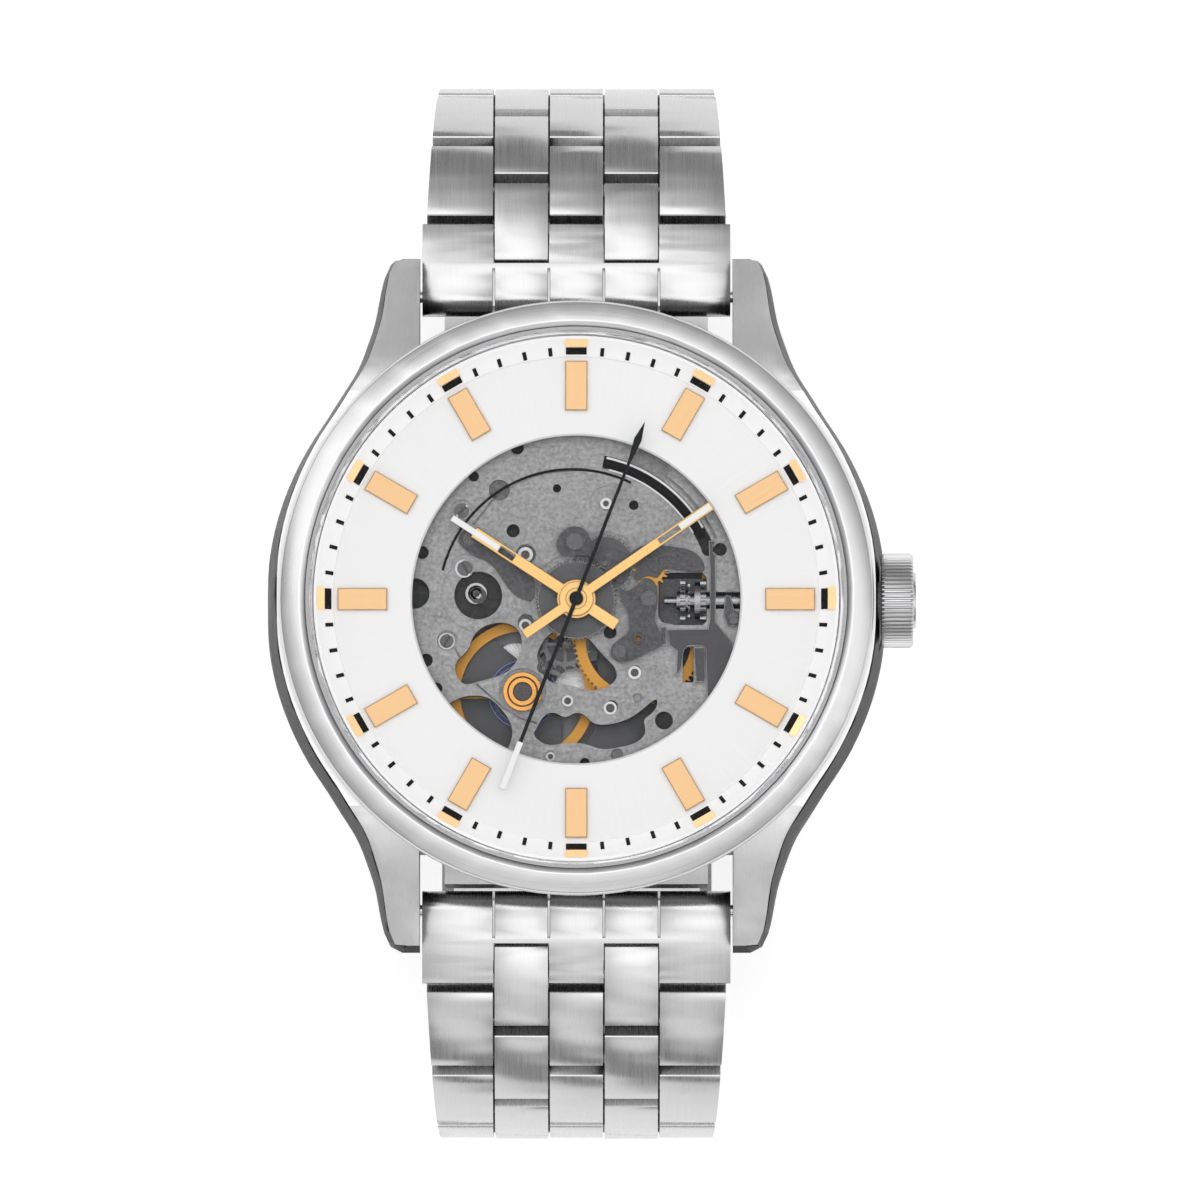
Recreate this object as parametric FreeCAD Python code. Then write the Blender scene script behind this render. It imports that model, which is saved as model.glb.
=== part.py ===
import FreeCAD, Part
import os, math
from FreeCAD import Vector as V

os.makedirs("parts", exist_ok=True)

# ------------------------------------------------------------------
# Skeleton automatic wristwatch on a folding-clasp bracelet.
# Millimetres. +X is 3 o'clock (crown), +Y is 12 o'clock, +Z is dial up.
# Origin: on the plane the closed bracelet rests on, under the hands' axis.
# ------------------------------------------------------------------
ZC = 32.4            # height of the caseback's outer face above the rest plane
CASE_HALF = 20.05    # half width of the case at 3 and 9 o'clock
BEZEL_R = 19.2
CRYSTAL_R = 17.25
DIAL_R = 16.9
APERTURE_R = 10.6    # opening in the dial
PLATE_R = 13.0       # movement radius
LUG_IN = 10.13       # half of the gap between the lugs
BAR_Y, BAR_ZH = 19.9, 3.2   # spring bar axis from the case centre and caseback
STEM_ZH = 6.9        # stem axis above the caseback
CROWN_R = 3.05
PULL = 1.2           # crown travel to the setting position
H = 2.7              # distance between two bracelet pins
TOPW = 1.4           # link surface above its pin line
ENDR = 1.285         # radius of a link's rounded end
TILTS = [14, 27, 41, 56, 71, 85, 93, 98, 104, 111, 119, 127, 136, 145, 153, 160]
END_TILT = 9.0
PIN1_Y = 23.2        # first bracelet pin from the case centre
COL1, COL2 = 1.78, 5.35     # column boundaries of the five-row bracelet
ROW_HALF = [9.70, 9.36, 9.02, 8.75, 8.52, 8.35, 8.20, 8.08, 7.98]
THIRD = (4.01, -2.47)       # third wheel
SECOND = (4.80, 1.96)       # second wheel
BARREL = (2.00, 7.00)
ESCAPE = (-0.73, -2.72)
PALLET = (-2.13, -4.35)
BALANCE = (-3.47, -5.90)
MINUTE = (1.84, 2.34)       # minute wheel on the dial side

def add(name, shape):
    if isinstance(shape, (list, tuple)):
        flat = []
        for s in shape:
            flat += list(s.Solids)
        shape = Part.makeCompound(flat) if len(flat) > 1 else flat[0]
    elif len(shape.Solids) == 1:
        shape = shape.Solids[0]
    shape.exportStep("parts/%s.step" % name)
    print(name, len(shape.Solids), round(shape.Volume, 3), shape.isValid())

def z(h):
    return ZC + h

def cyl(r, h0, h1, x=0.0, y=0.0):
    return Part.makeCylinder(r, h1 - h0, V(x, y, z(h0)))

def ring(ro, ri, h0, h1, x=0.0, y=0.0):
    return cyl(ro, h0, h1, x, y).cut(cyl(ri, h0 - 0.1, h1 + 0.1, x, y))

def xcyl(r, x0, x1, zz, y=0.0):
    return Part.makeCylinder(r, x1 - x0, V(x0, y, zz), V(1, 0, 0))

def box(x0, x1, y0, y1, h0, h1):
    return Part.makeBox(x1 - x0, y1 - y0, h1 - h0, V(x0, y0, z(h0)))

def prism(pts, h0, h1):
    w = Part.makePolygon([V(p[0], p[1], z(h0)) for p in pts] + [V(pts[0][0], pts[0][1], z(h0))])
    return Part.Face(w).extrude(V(0, 0, h1 - h0))

def blob(pts, h0, h1):
    # prism with a smooth closed outline through the points
    c = Part.BSplineCurve()
    c.interpolate([V(p[0], p[1], z(h0)) for p in pts], PeriodicFlag=True)
    return Part.Face(Part.Wire([c.toShape()])).extrude(V(0, 0, h1 - h0))

def fuse(lst):
    a = lst[0]
    for b in lst[1:]:
        a = a.fuse(b)
    return a.removeSplitter()

def cutall(a, lst):
    return a.cut(Part.makeCompound(lst))

def revolve(prof):
    # prof: (r, h) pairs, closed, about the hands' axis
    w = Part.makePolygon([V(p[0], 0, z(p[1])) for p in prof] + [V(prof[0][0], 0, z(prof[0][1]))])
    return Part.Face(w).revolve(V(0, 0, 0), V(0, 0, 1), 360)

def gear(n, r, h0, h1, x=0.0, y=0.0, bore=0.0, rim=0.0, spokes=0, sw=0.35, phase=0.0, add_=None, hub=None):
    # straight-flanked teeth on pitch radius r
    m = 2.0 * r / n
    ra = r + (0.72 * m if add_ is None else add_)
    rd = r - 1.05 * m
    pts = []
    for i in range(n):
        a = 2 * math.pi * (i + phase) / n
        p = 2 * math.pi / n
        for (f, rr) in ((-0.25, rd), (-0.09, ra), (0.09, ra), (0.25, rd)):
            pts.append((x + rr * math.cos(a + f * p), y + rr * math.sin(a + f * p)))
    g = prism(pts, h0, h1)
    if rim > 0:
        hubr = hub if hub else max(0.55, bore + 0.3)
        hole = ring(rd - rim, hubr, h0 - 0.1, h1 + 0.1, x, y)
        bars = []
        for k in range(spokes):
            b = Part.makeBox(rd, sw, h1 - h0 + 0.4, V(0, -sw / 2, 0))
            b.rotate(V(0, 0, 0), V(0, 0, 1), 360.0 * k / spokes + 20)
            b.translate(V(x, y, z(h0) - 0.2))
            bars.append(b)
        hole = hole.cut(Part.makeCompound(bars)) if bars else hole
        g = g.cut(hole)
    if bore > 0:
        g = g.cut(cyl(bore, h0 - 0.1, h1 + 0.1, x, y))
    return g

def pol(r, deg):
    return (r * math.cos(math.radians(deg)), r * math.sin(math.radians(deg)))

# ------------------------------------------------------------------ case
OUT = [(20.05, 0), (19.95, 2.84), (19.70, 4.4), (19.30, 5.95), (18.75, 7.5), (18.05, 9.05), (17.18, 10.6),
       (16.18, 12.1), (15.18, 13.7), (14.25, 15.2), (13.6, 16.8), (13.1, 18.3), (12.78, 19.9), (12.45, 21.3)]
def outline(off, h0):
    right = [(x - off, y) for x, y in OUT]
    tip = 22.55 - off
    up = Part.BSplineCurve()
    pts = [(p[0], -p[1]) for p in right[:0:-1]] + right
    up.interpolate([V(p[0], p[1], z(h0)) for p in pts])
    dn = Part.BSplineCurve()
    dn.interpolate([V(-p[0], -p[1], z(h0)) for p in pts])
    a, b = pts[-1], (-pts[-1][0], pts[-1][1])
    def tipwire(s):
        # rounded lug tips joined straight across the gap
        q = [(12.45 - off, 21.3 * s), (12.05 - off, 22.15 * s), (11.3 - off, tip * s), (-11.3 + off, tip * s), (-12.05 + off, 22.15 * s), (-12.45 + off, 21.3 * s)]
        return [Part.makeLine(V(q[i][0], q[i][1], z(h0)), V(q[i + 1][0], q[i + 1][1], z(h0))) for i in range(5)]
    return Part.Wire([up.toShape()] + tipwire(1) + [dn.toShape()] + tipwire(-1)[::-1])

# the flank leans in towards the top, so it shows as a polished band from above
body = Part.makeLoft([outline(0.0, 0.6), outline(0.74, 10.2)], True, True)
print("case loft", body.isValid(), round(body.Volume, 1))
# side profile: lug tops fall away to the tips, undersides rise a little in the middle
sp = [(-23, 1.6), (-23, 4.3), (-22.4, 4.8), (-21.0, 5.7), (-19.3, 6.9), (-17.6, 8.2), (-16.0, 9.3), (-14.6, 9.95), (-13.4, 10.2)]
sq = [(-p[0], p[1]) for p in sp[::-1]]
low = [(23, 0.8), (20.5, 0.75), (16.0, 1.0), (-16.0, 1.0), (-20.5, 0.75), (-23, 0.8)]
def curve(pts):
    c = Part.BSplineCurve()
    c.interpolate([V(-25, p[0], z(p[1])) for p in pts])
    return c.toShape()
def seg(a, b):
    return Part.makeLine(V(-25, a[0], z(a[1])), V(-25, b[0], z(b[1])))
edges = [curve(sp[1:]), seg(sp[-1], sq[0]), curve(sq[:-1])]
chain = [sq[-2]] + [(23, 0.8)] + low[1:] + [sp[1]]
edges += [seg(chain[i], chain[i + 1]) for i in range(len(chain) - 1)]
side = Part.Face(Part.Wire(edges)).extrude(V(50, 0, 0))
body = body.common(side)
cuts = []
for s in (1, -1):
    y0, y1 = (18.35, 24) if s > 0 else (-24, -18.35)
    cuts.append(box(-LUG_IN, LUG_IN, y0, y1, -1, 12))
    ya, yb = (16.2, 24) if s > 0 else (-24, -16.2)
    for t in (1, -1):
        xa, xb = (8.5, LUG_IN) if t > 0 else (-LUG_IN, -8.5)
        cuts.append(box(xa, xb, ya, yb, -1, 12))
    cuts.append(xcyl(0.45, -11.5, 11.5, z(BAR_ZH), s * BAR_Y))
cuts.append(cyl(15.25, -1, 1.32))
cuts.append(cyl(14.42, 1, 2.8))
cuts.append(cyl(13.6, 2.7, 8.02))
cuts.append(cyl(17.0, 8.0, 12))
cuts.append(xcyl(3.3, 19.6, 22, z(STEM_ZH)))
cuts.append(xcyl(1.25, 13, 22, z(STEM_ZH)))
body = cutall(body, cuts)
add("case_middle", body)

add("bezel", revolve([(17.02, 10.2), (19.2, 10.2), (19.2, 10.95), (19.05, 11.22), (17.85, 11.62), (17.47, 11.42), (17.47, 10.5), (17.02, 10.5)]))
add("crystal", revolve([(0, 10.5), (17.23, 10.5), (17.23, 11.65), (16.85, 12.0), (0, 12.0)]))
tube = xcyl(1.25, 17.3, 20.9, z(STEM_ZH)).cut(xcyl(0.8, 17, 21, z(STEM_ZH)))
tgas = xcyl(0.79, 18.6, 19.3, z(STEM_ZH)).cut(xcyl(0.5, 18, 20, z(STEM_ZH)))
add("seals_and_tube", [ring(17.46, 17.24, 10.5, 11.5), ring(14.4, 13.95, 2.62, 2.79), tube, tgas])
add("rehaut_ring", revolve([(15.7, 8.7), (16.95, 8.7), (16.95, 10.18), (16.78, 10.18), (15.7, 8.95)]))
add("dial", revolve([(10.6, 8.32), (16.9, 8.32), (16.9, 8.69), (10.72, 8.69), (10.6, 8.6)]))
mk = []
for k in range(12):
    a = 30.0 * k
    b = Part.makeBox(3.2, 1.43, 0.32, V(12.2, -0.715, z(8.70)))
    try:
        b = b.makeChamfer(0.07, [e for e in b.Edges if e.BoundBox.ZMin > z(8.99)])
    except Exception:
        pass
    b.rotate(V(0, 0, 0), V(0, 0, 1), a)
    mk.append(b)
    # outer block leaning on the flange's slope
    sl = (16.78 - 15.7) / (10.18 - 8.95)
    def rr(h): return 15.7 + (h - 8.95) * sl - 0.03
    h0, h1 = 8.95 + 0.56 / sl, 8.95 + 1.04 / sl
    pw = Part.makePolygon([V(rr(h0), -0.715, z(h0)), V(rr(h1), -0.715, z(h1)), V(rr(h1), -0.715, z(h1 + 0.04)), V(rr(h0), -0.715, z(h1 - 0.1)), V(rr(h0), -0.715, z(h0))])
    b = Part.Face(pw).extrude(V(0, 1.43, 0))
    b.rotate(V(0, 0, 0), V(0, 0, 1), a)
    mk.append(b)
add("hour_markers", mk)
mr = fuse([ring(13.58, 13.03, 2.9, 8.02), ring(16.9, 13.03, 8.02, 8.3)])
mr = mr.cut(xcyl(0.7, 12, 15, z(STEM_ZH)))
add("movement_ring", mr)
cb = fuse([revolve([(0, 0.0), (13.6, 0.0), (15.2, 0.45), (15.2, 1.3), (0, 1.3)]), ring(14.4, 13.8, 1.3, 2.6)])
notch = []
for k in range(6):
    b = box(14.5, 16, -0.9, 0.9, -0.5, 0.7)
    b.rotate(V(0, 0, 0), V(0, 0, 1), 60 * k)
    notch.append(b)
add("caseback", cutall(cb, notch))
bars = []
for s in (1, -1):
    b = fuse([xcyl(0.63, -9.95, 9.95, z(BAR_ZH), s * BAR_Y), xcyl(0.4, -11.2, 11.2, z(BAR_ZH), s * BAR_Y)])
    bars.append(b)
add("lug_spring_bars", bars)

# ------------------------------------------------------------------ main plate (dial side, seen through the dial)
HOLE_L = [(-7.74, -4.8), (-7.67, -3.9), (-7.0, -3.17), (-6.66, -2.35), (-6.1, -1.76), (-5.3, -1.46), (-4.41, -1.5), (-3.74, -1.95), (-3.52, -2.58), (-3.64, -3.39), (-4.04, -4.2), (-4.7, -4.75), (-5.59, -5.05), (-6.4, -5.28), (-7.2, -5.4)]
HOLE_LL = [(-8.2, -6.7), (-7.52, -6.31), (-6.63, -6.15), (-5.67, -6.32), (-4.85, -7.02), (-4.33, -7.76), (-4.14, -8.45), (-4.26, -9.2), (-4.8, -10.0), (-5.8, -10.2), (-6.93, -9.69), (-7.96, -8.6), (-8.5, -7.5)]
HOLE_C = [(-2.5, -3.4), (-2.15, -2.65), (-1.6, -2.1), (-0.8, -1.9), (0.1, -2.0), (0.8, -2.45), (1.35, -3.1), (1.96, -3.76), (2.5, -4.4), (2.6, -4.95), (2.3, -5.4), (1.67, -5.72), (0.92, -5.82), (0.04, -5.62), (-0.7, -5.42), (-1.45, -5.35), (-2.04, -4.95), (-2.4, -4.2)]
HOLE_S = [(-2.7, -8.5), (-2.4, -7.95), (-1.9, -7.35), (-1.3, -7.3), (-0.7, -7.55), (-0.2, -7.32), (0.4, -7.35), (1.05, -7.88), (1.96, -8.03), (3.0, -7.79), (4.33, -6.99), (5.2, -6.45), (5.05, -7.1), (4.4, -7.75), (4.45, -8.45), (4.0, -9.1), (2.85, -9.48), (1.6, -9.6), (0.6, -9.3), (-1.0, -9.28), (-2.3, -9.15)]
WIN = [(5.29, 1.2), (5.55, 1.68), (6.1, 1.8), (8.15, 1.8), (8.42, 1.5), (8.42, -1.35), (8.15, -1.6), (6.4, -1.6), (5.5, -1.4), (5.29, -1.0)]
WIN_R = [(6.87, -3.0), (7.57, -3.0), (7.57, -5.3), (6.87, -5.3)]
plate = cyl(PLATE_R, 6.0, 7.3)
plate = fuse([plate, ring(1.15, 0.38, 7.2, 7.36), ring(0.4, 0.25, 6.0, 8.6)])
cuts = [blob(h, 5.9, 7.5) for h in (HOLE_L, HOLE_LL, HOLE_C, HOLE_S)]
cuts += [prism(WIN, 5.9, 7.5), prism(WIN_R, 5.9, 7.5), cyl(0.25, 5.9, 9), box(8.3, 13.2, -0.55, 0.55, 6.35, 7.5)]
for (x, y, r) in [(-4.08, 4.51, .43), (3.71, 6.16, .31), (2.18, -2.06, .42), (3.81, -4.57, .38), (2.26, -6.87, .42), (-1.25, 7.25, .27), (8.5, 3.3, .42), (9.3, 3.3, .42), (-9.96, 3.1, .42), (-9.69, -3.86, .42), (-9.01, -5.67, .36), (5.66, -7.76, .58), (-6.63, 8.02, .34), (-3.82, 9.88, .44), (0.55, -10.5, .32), (-10.48, 0.45, 1.0)]:
    cuts.append(cyl(r, 6.3, 7.5, x, y))
for (x, y, r, d) in [(-4.97, 7.13, .68, .5), (4.75, 8.7, 1.28, .35), (-6.34, .33, 1.55, .75), (-8.34, -2.59, .66, .25), (-7.4, 5.79, .73, .2), (-7.18, 2.09, .92, .15), (-4.08, 4.51, .95, .08), (-3.25, 2.98, .66, .2), (-3.25, -1.4, .53, .2), (3.81, -4.57, .72, .08), (-0.48, -6.43, .55, .1), (1.96, 6.31, 1.1, .12), (3.96, -6.31, .3, .3), (-0.48, -6.43, .2, 1.5), (9.96, 0.1, .6, .2), (5.04, -4.5, .33, .12), (-1.67, -9.98, .3, .2), (2.63, -9.98, .4, .4)]:
    cuts.append(cyl(r, 7.3 - d, 7.5, x, y))
def arcband(r0, r1, a0, a1, h0, h1):
    n = 28
    p = [pol(r1, a0 + (a1 - a0) * i / n) for i in range(n + 1)] + [pol(r0, a1 + (a0 - a1) * i / n) for i in range(n + 1)]
    return prism(p, h0, h1)
cuts.append(arcband(8.72, 9.55, 22, 79, 6.45, 7.5))
cuts.append(arcband(8.36, 8.50, 80, 128, 7.12, 7.5))
cuts.append(arcband(9.75, 9.95, 24, 62, 7.0, 7.5))
cuts.append(ring(3.26, 3.12, 7.22, 7.5, -6.34, .33))
cuts.append(ring(2.42, 2.3, 7.2, 7.5, -6.34, .33))
cuts.append(ring(3.05, 1.16, 7.12, 7.5))
cuts.append(ring(1.52, 1.3, 7.05, 7.5, BALANCE[0], BALANCE[1]))
cuts.append(cyl(1.27, 6.75, 7.5, BALANCE[0], BALANCE[1]))
cuts.append(cyl(0.35, 5.9, 7.5, BALANCE[0], BALANCE[1]))
cuts.append(cyl(2.15, 7.2, 7.5, MINUTE[0], MINUTE[1]))
cuts.append(cyl(0.19, 6.8, 7.5, MINUTE[0], MINUTE[1]))
cuts.append(cyl(0.24, 5.9, 7.5, SECOND[0], SECOND[1]))
cuts.append(cyl(1.2, 7.2, 7.5, SECOND[0], SECOND[1]))
for (p, rr_) in ((THIRD, .55), (ESCAPE, .4), (PALLET, .4)):
    cuts.append(cyl(rr_, 5.9, 7.5, p[0], p[1]))
# thin clicks of engraved line between the holes
def groove(pts, wd, d):
    out = []
    for i in range(len(pts) - 1):
        (x0, y0), (x1, y1) = pts[i], pts[i + 1]
        L = math.hypot(x1 - x0, y1 - y0)
        b = Part.makeBox(L + wd, wd, 1.0, V(-wd / 2, -wd / 2, z(7.3 - d)))
        b.rotate(V(0, 0, 0), V(0, 0, 1), math.degrees(math.atan2(y1 - y0, x1 - x0)))
        b.translate(V(x0, y0, 0))
        out.append(b)
    return out
cuts += groove([(-6.43, -5.44), (-4.67, -6.98), (-3.67, -7.62), (-2.6, -7.93)], 0.13, 0.3)
cuts += groove([(-7.9, -3.0), (-7.55, -3.65)], 0.13, 0.3)
cuts += groove([(-6.6, 4.95), (-5.4, 6.5)], 0.14, 0.25)
for c_ in cuts:
    plate = plate.cut(c_)
add("main_plate", plate)

# ------------------------------------------------------------------ bridges (caseback side)
tb = cyl(12.95, 2.9, 3.6)
tb = tb.cut(cyl(5.15, 2.8, 3.7, BALANCE[0], BALANCE[1]))
tb = tb.cut(prism([(-14, -5.6), (-5.0, -2.0), (-0.5, -6.0), (-1.0, -14), (-14, -14)], 2.8, 3.7))
shelf = fuse([prism([(-2.6, -4.75), (-2.0, -4.9), (0.4, -3.9), (1.35, -3.75), (1.35, -2.7), (0.2, -2.2), (-1.2, -2.1), (-2.5, -3.9)], 4.52, 4.75), cyl(0.42, 3.5, 4.6, 1.85 - 0.9, -3.2)])
tb = tb.fuse(shelf)
rim = ring(12.95, 11.9, 3.6, 6.0)
rim = rim.cut(box(-14, 14, -14, 14, 3.5, 6.1).common(prism([(-14, -3.5), (-3.5, -3.5), (-3.5, -14), (-14, -14)], 3.5, 6.1)))
rim = rim.cut(box(10, 14, -1.2, 1.2, 5.0, 6.1)).cut(cyl(5.25, 3.5, 6.1, BARREL[0], BARREL[1]))
tb = tb.fuse(rim)
tb = tb.cut(prism([(-13.5, -3.3), (-9.1, -2.6), (-8.8, -4.7), (-9.2, -7.4), (-11, -8.6)], 2.8, 6.2))
tb = tb.cut(prism([(-13.5, -3.6), (-5.3, -1.95), (-0.4, -5.95), (-0.9, -14), (-14, -14)], 2.8, 3.62))
tb = fuse([tb, ring(0.8, 0.3, 2.0, 2.95)])
for (p, r_) in (((0, 0), .3), (THIRD, .3), (SECOND, .3), (BARREL, .65)):
    tb = tb.cut(cyl(r_, 1.5, 3.7, p[0], p[1]))
tb = tb.cut(cyl(0.3, 4.4, 4.9, ESCAPE[0], ESCAPE[1])).cut(cyl(0.3, 4.4, 4.9, PALLET[0], PALLET[1]))
add("train_bridge", tb)
ck = prism([(-12.2, -3.9), (-5.4, -2.3), (-0.75, -6.15), (-1.2, -11.6), (-4.5, -12.1), (-9.6, -8.6)], 2.9, 3.5).common(cyl(12.9, 2.8, 3.7))
ck = ck.cut(cyl(0.3, 2.8, 3.7, BALANCE[0], BALANCE[1]))
foot = prism([(-12.2, -3.9), (-9.2, -3.2), (-8.9, -4.7), (-9.3, -7.3), (-10.2, -7.9)], 3.5, 6.0).common(cyl(12.9, 3.4, 6.1)).cut(cyl(5.2, 3.4, 6.1, BALANCE[0], BALANCE[1]))
add("balance_cock", fuse([ck, foot]))

# ------------------------------------------------------------------ going train
def arbor(x, y, segs):
    # segs: (radius, h0, h1) stacked
    return [cyl(r, a, b, x, y) for (r, a, b) in segs]
drum = fuse([cyl(4.8, 3.75, 5.0, *BARREL).cut(cyl(4.55, 3.95, 4.85, *BARREL)), gear(84, 5.04, 4.8, 5.0, *BARREL, bore=4.6), cyl(1.3, 3.95, 4.85, *BARREL), cyl(0.6, 2.52, 3.8, *BARREL), cyl(0.35, 4.9, 5.95, *BARREL)])
ms = []
for i in range(7):
    r = 1.7 + 0.4 * i
    ms.append(ring(r + 0.12, r, 4.0, 4.8, *BARREL))
add("mainspring_barrel", [drum] + ms)
add("ratchet_wheel", gear(60, 3.0, 2.55, 2.85, *BARREL, bore=0.63))
add("second_wheel", fuse([gear(80, 4.0, 5.1, 5.22, *SECOND, bore=0.1, rim=0.55, spokes=4), gear(12, 0.72, 4.72, 5.1, *SECOND)] + arbor(*SECOND, [(0.28, 4.0, 5.6), (0.2, 3.2, 7.4), ]) + [gear(16, 1.0365, 7.4, 7.62, *SECOND)]))
add("third_wheel", fuse([gear(75, 4.155, 5.35, 5.47, *THIRD, bore=0.1, rim=0.62, spokes=3, sw=0.62), gear(10, 0.5, 5.04, 5.36, *THIRD)] + arbor(*THIRD, [(0.3, 4.2, 5.8), (0.15, 3.1, 6.6)])))
fw = [gear(72, 2.6, 5.6, 5.72, bore=0.1, rim=0.5, spokes=4, sw=0.4), gear(10, 0.555, 5.28, 5.61)] + arbor(0, 0, [(0.3, 4.2, 5.75), (0.2, 3.05, 9.85)])
add("fourth_wheel", fuse(fw))
ew = []
for i in range(15):
    a = 2 * math.pi * i / 15
    p = [pol(1.35, math.degrees(a) - 8), pol(1.35, math.degrees(a) + 8), pol(1.62, math.degrees(a) + 8.5), pol(1.80, math.degrees(a) + 11), pol(1.70, math.degrees(a) + 6)]
    ew.append(prism([(q[0] + ESCAPE[0], q[1] + ESCAPE[1]) for q in p], 4.95, 5.07))
e = fuse([ring(1.45, 1.15, 4.95, 5.07, *ESCAPE), ring(0.4, 0.1, 4.95, 5.07, *ESCAPE), box(ESCAPE[0] - 1.2, ESCAPE[0] + 1.2, ESCAPE[1] - .11, ESCAPE[1] + .11, 4.95, 5.07), box(ESCAPE[0] - .11, ESCAPE[0] + .11, ESCAPE[1] - 1.2, ESCAPE[1] + 1.2, 4.95, 5.07)] + ew + [gear(6, 0.215, 5.3, 5.8, *ESCAPE)] + arbor(*ESCAPE, [(0.16, 4.85, 5.85), (0.12, 4.6, 6.6)]))
add("escape_wheel", e)
ux, uy = (BALANCE[0] - ESCAPE[0]) / 4.2, (BALANCE[1] - ESCAPE[1]) / 4.2
def loc(p, u, v):
    return (p[0] + u * ux - v * uy, p[1] + u * uy + v * ux)
pf = prism([loc(PALLET, a, b) for (a, b) in [(-0.55, 1.0), (-0.28, 1.1), (-0.05, 0.35), (0.25, 0.16), (1.25, 0.12), (1.35, 0.35), (1.5, 0.35), (1.5, -0.35), (1.35, -0.35), (1.25, -0.12), (0.25, -0.16), (-0.05, -0.35), (-0.28, -1.1), (-0.55, -1.0), (-0.32, -0.2), (-0.32, 0.2)]], 5.15, 5.27)
add("pallet_fork", fuse([pf] + arbor(*PALLET, [(0.2, 4.85, 5.6), (0.12, 4.6, 6.6)])))
bw = fuse([ring(4.72, 4.05, 3.95, 4.4, *BALANCE), box(BALANCE[0] - 4.2, BALANCE[0] + 4.2, BALANCE[1] - .3, BALANCE[1] + .3, 4.1, 4.3), ring(0.8, 0.1, 4.05, 4.35, *BALANCE), cyl(0.3, 3.2, 6.2, *BALANCE), cyl(0.12, 3.0, 6.9, *BALANCE), cyl(0.4, 4.9, 5.05, *BALANCE)])
bw = bw.common(bw)
add("balance_wheel", bw)
hs = []
for i in range(6):
    r = 0.75 + 0.28 * i
    hs.append(ring(r + 0.05, r, 3.62, 3.78, *BALANCE))
c_ = hs[0]
for i in range(5):
    r = 0.75 + 0.28 * i
    c_ = c_.fuse(box(BALANCE[0] + r + 0.02, BALANCE[0] + r + 0.30, BALANCE[1] - 0.04, BALANCE[1] + 0.04, 3.62, 3.78)).fuse(hs[i + 1])
c_ = c_.fuse(cyl(0.2, 3.5, 3.78, BALANCE[0] + 2.3, BALANCE[1]))
add("hairspring", c_.removeSplitter())

# ------------------------------------------------------------------ motion work and hands
add("cannon_pinion", fuse([ring(0.65, 0.44, 7.4, 9.72), gear(16, 1.0365, 7.42, 7.64, bore=0.44)]))
add("minute_wheel", fuse([gear(30, 1.943, 7.42, 7.58, *MINUTE, bore=0.2), gear(10, 0.4027, 7.58, 7.98, *MINUTE, bore=0.2)]))
add("hour_wheel", fuse([ring(0.92, 0.69, 7.82, 9.27), gear(64, 2.578, 7.80, 7.96, bore=0.69)]))
def turn(shape, cw):
    shape.rotate(V(0, 0, 0), V(0, 0, 1), -cw)
    return shape
HOUR_CW, MIN_CW, SEC_CW = 303.2, 55.4, 21.2
hw = [cyl(1.26, 9.05, 9.25), prism([(-.37, 0.8), (.37, 0.8), (.37, 7.9), (.2, 7.9), (.2, 9.6), (-.2, 9.6), (-.2, 7.9), (-.37, 7.9)], 9.05, 9.25), prism([(-.37, -3.1), (.37, -3.1), (.37, -0.8), (-.37, -0.8)], 9.05, 9.25)]
hh = fuse(hw).cut(cyl(0.92, 9, 9.3)).cut(box(-.22, .22, 4.8, 5.9, 9, 9.3))
add("hour_hand", turn(hh, HOUR_CW))
mh = fuse([cyl(1.1, 9.5, 9.7), prism([(-.31, -4.1), (.31, -4.1), (.31, 10.6), (-.31, 10.6)], 9.5, 9.7)]).cut(cyl(0.65, 9.4, 9.8)).cut(box(-.17, .17, 6.5, 8.06, 9.4, 9.8))
add("minute_hand", turn(mh, MIN_CW))
sh = fuse([cyl(0.45, 9.86, 10.12), prism([(-.13, 0), (-.10, 9.5), (-.25, 11.0), (0, 12.25), (.25, 11.0), (.10, 9.5), (.13, 0), (.12, -9.9), (.185, -9.95), (.185, -13.2), (-.185, -13.2), (-.185, -9.95), (-.12, -9.9)], 9.9, 10.04)]).cut(cyl(0.2, 9.8, 9.87))
add("second_hand", turn(sh, SEC_CW))

# ------------------------------------------------------------------ keyless works
SZ = z(STEM_ZH)
def xgear(n, r, x0, x1, bore):
    g = gear(n, r, -(x1 - x0), 0, bore=bore)
    g.translate(V(0, 0, -ZC))
    g.rotate(V(0, 0, 0), V(0, 1, 0), 90)
    g.translate(V(x1, 0, SZ))
    return g
sl_ = fuse([xgear(14, 1.16, 6.71, 7.04, 0.47), xcyl(0.58, 6.48, 6.75, SZ).cut(xcyl(0.47, 6.4, 6.8, SZ)), xgear(14, 1.0, 7.2, 7.35, 0.47), xcyl(0.7, 7.0, 7.25, SZ).cut(xcyl(0.47, 6.9, 7.3, SZ))])
add("sliding_pinion", sl_)
add("winding_pinion", fuse([xcyl(1.2, 7.63, 8.0, SZ).cut(xcyl(0.47, 7.5, 8.1, SZ)), xgear(14, 1.14, 7.99, 8.38, 0.47)]))
stem = fuse([xcyl(0.23, 5.7, 6.6, SZ), xcyl(0.45, 6.5, 9.6, SZ), xcyl(0.3, 9.5, 10.0, SZ), xcyl(0.45, 9.9, 21.2, SZ)])
add("winding_stem", stem)
cr = xcyl(CROWN_R, 19.7, 21.75, SZ).fuse(xcyl(1.8, 21.7, 21.92, SZ))
try:
    cr = cr.makeChamfer(0.18, [e for e in cr.Edges if abs(e.CenterOfMass.x - 21.75) < 0.03 and e.Length > 15] + [e for e in cr.Edges if abs(e.CenterOfMass.x - 19.7) < 0.03 and e.Length > 15])
except Exception as ex:
    print("crown chamfer", ex)
fl = []
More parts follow.
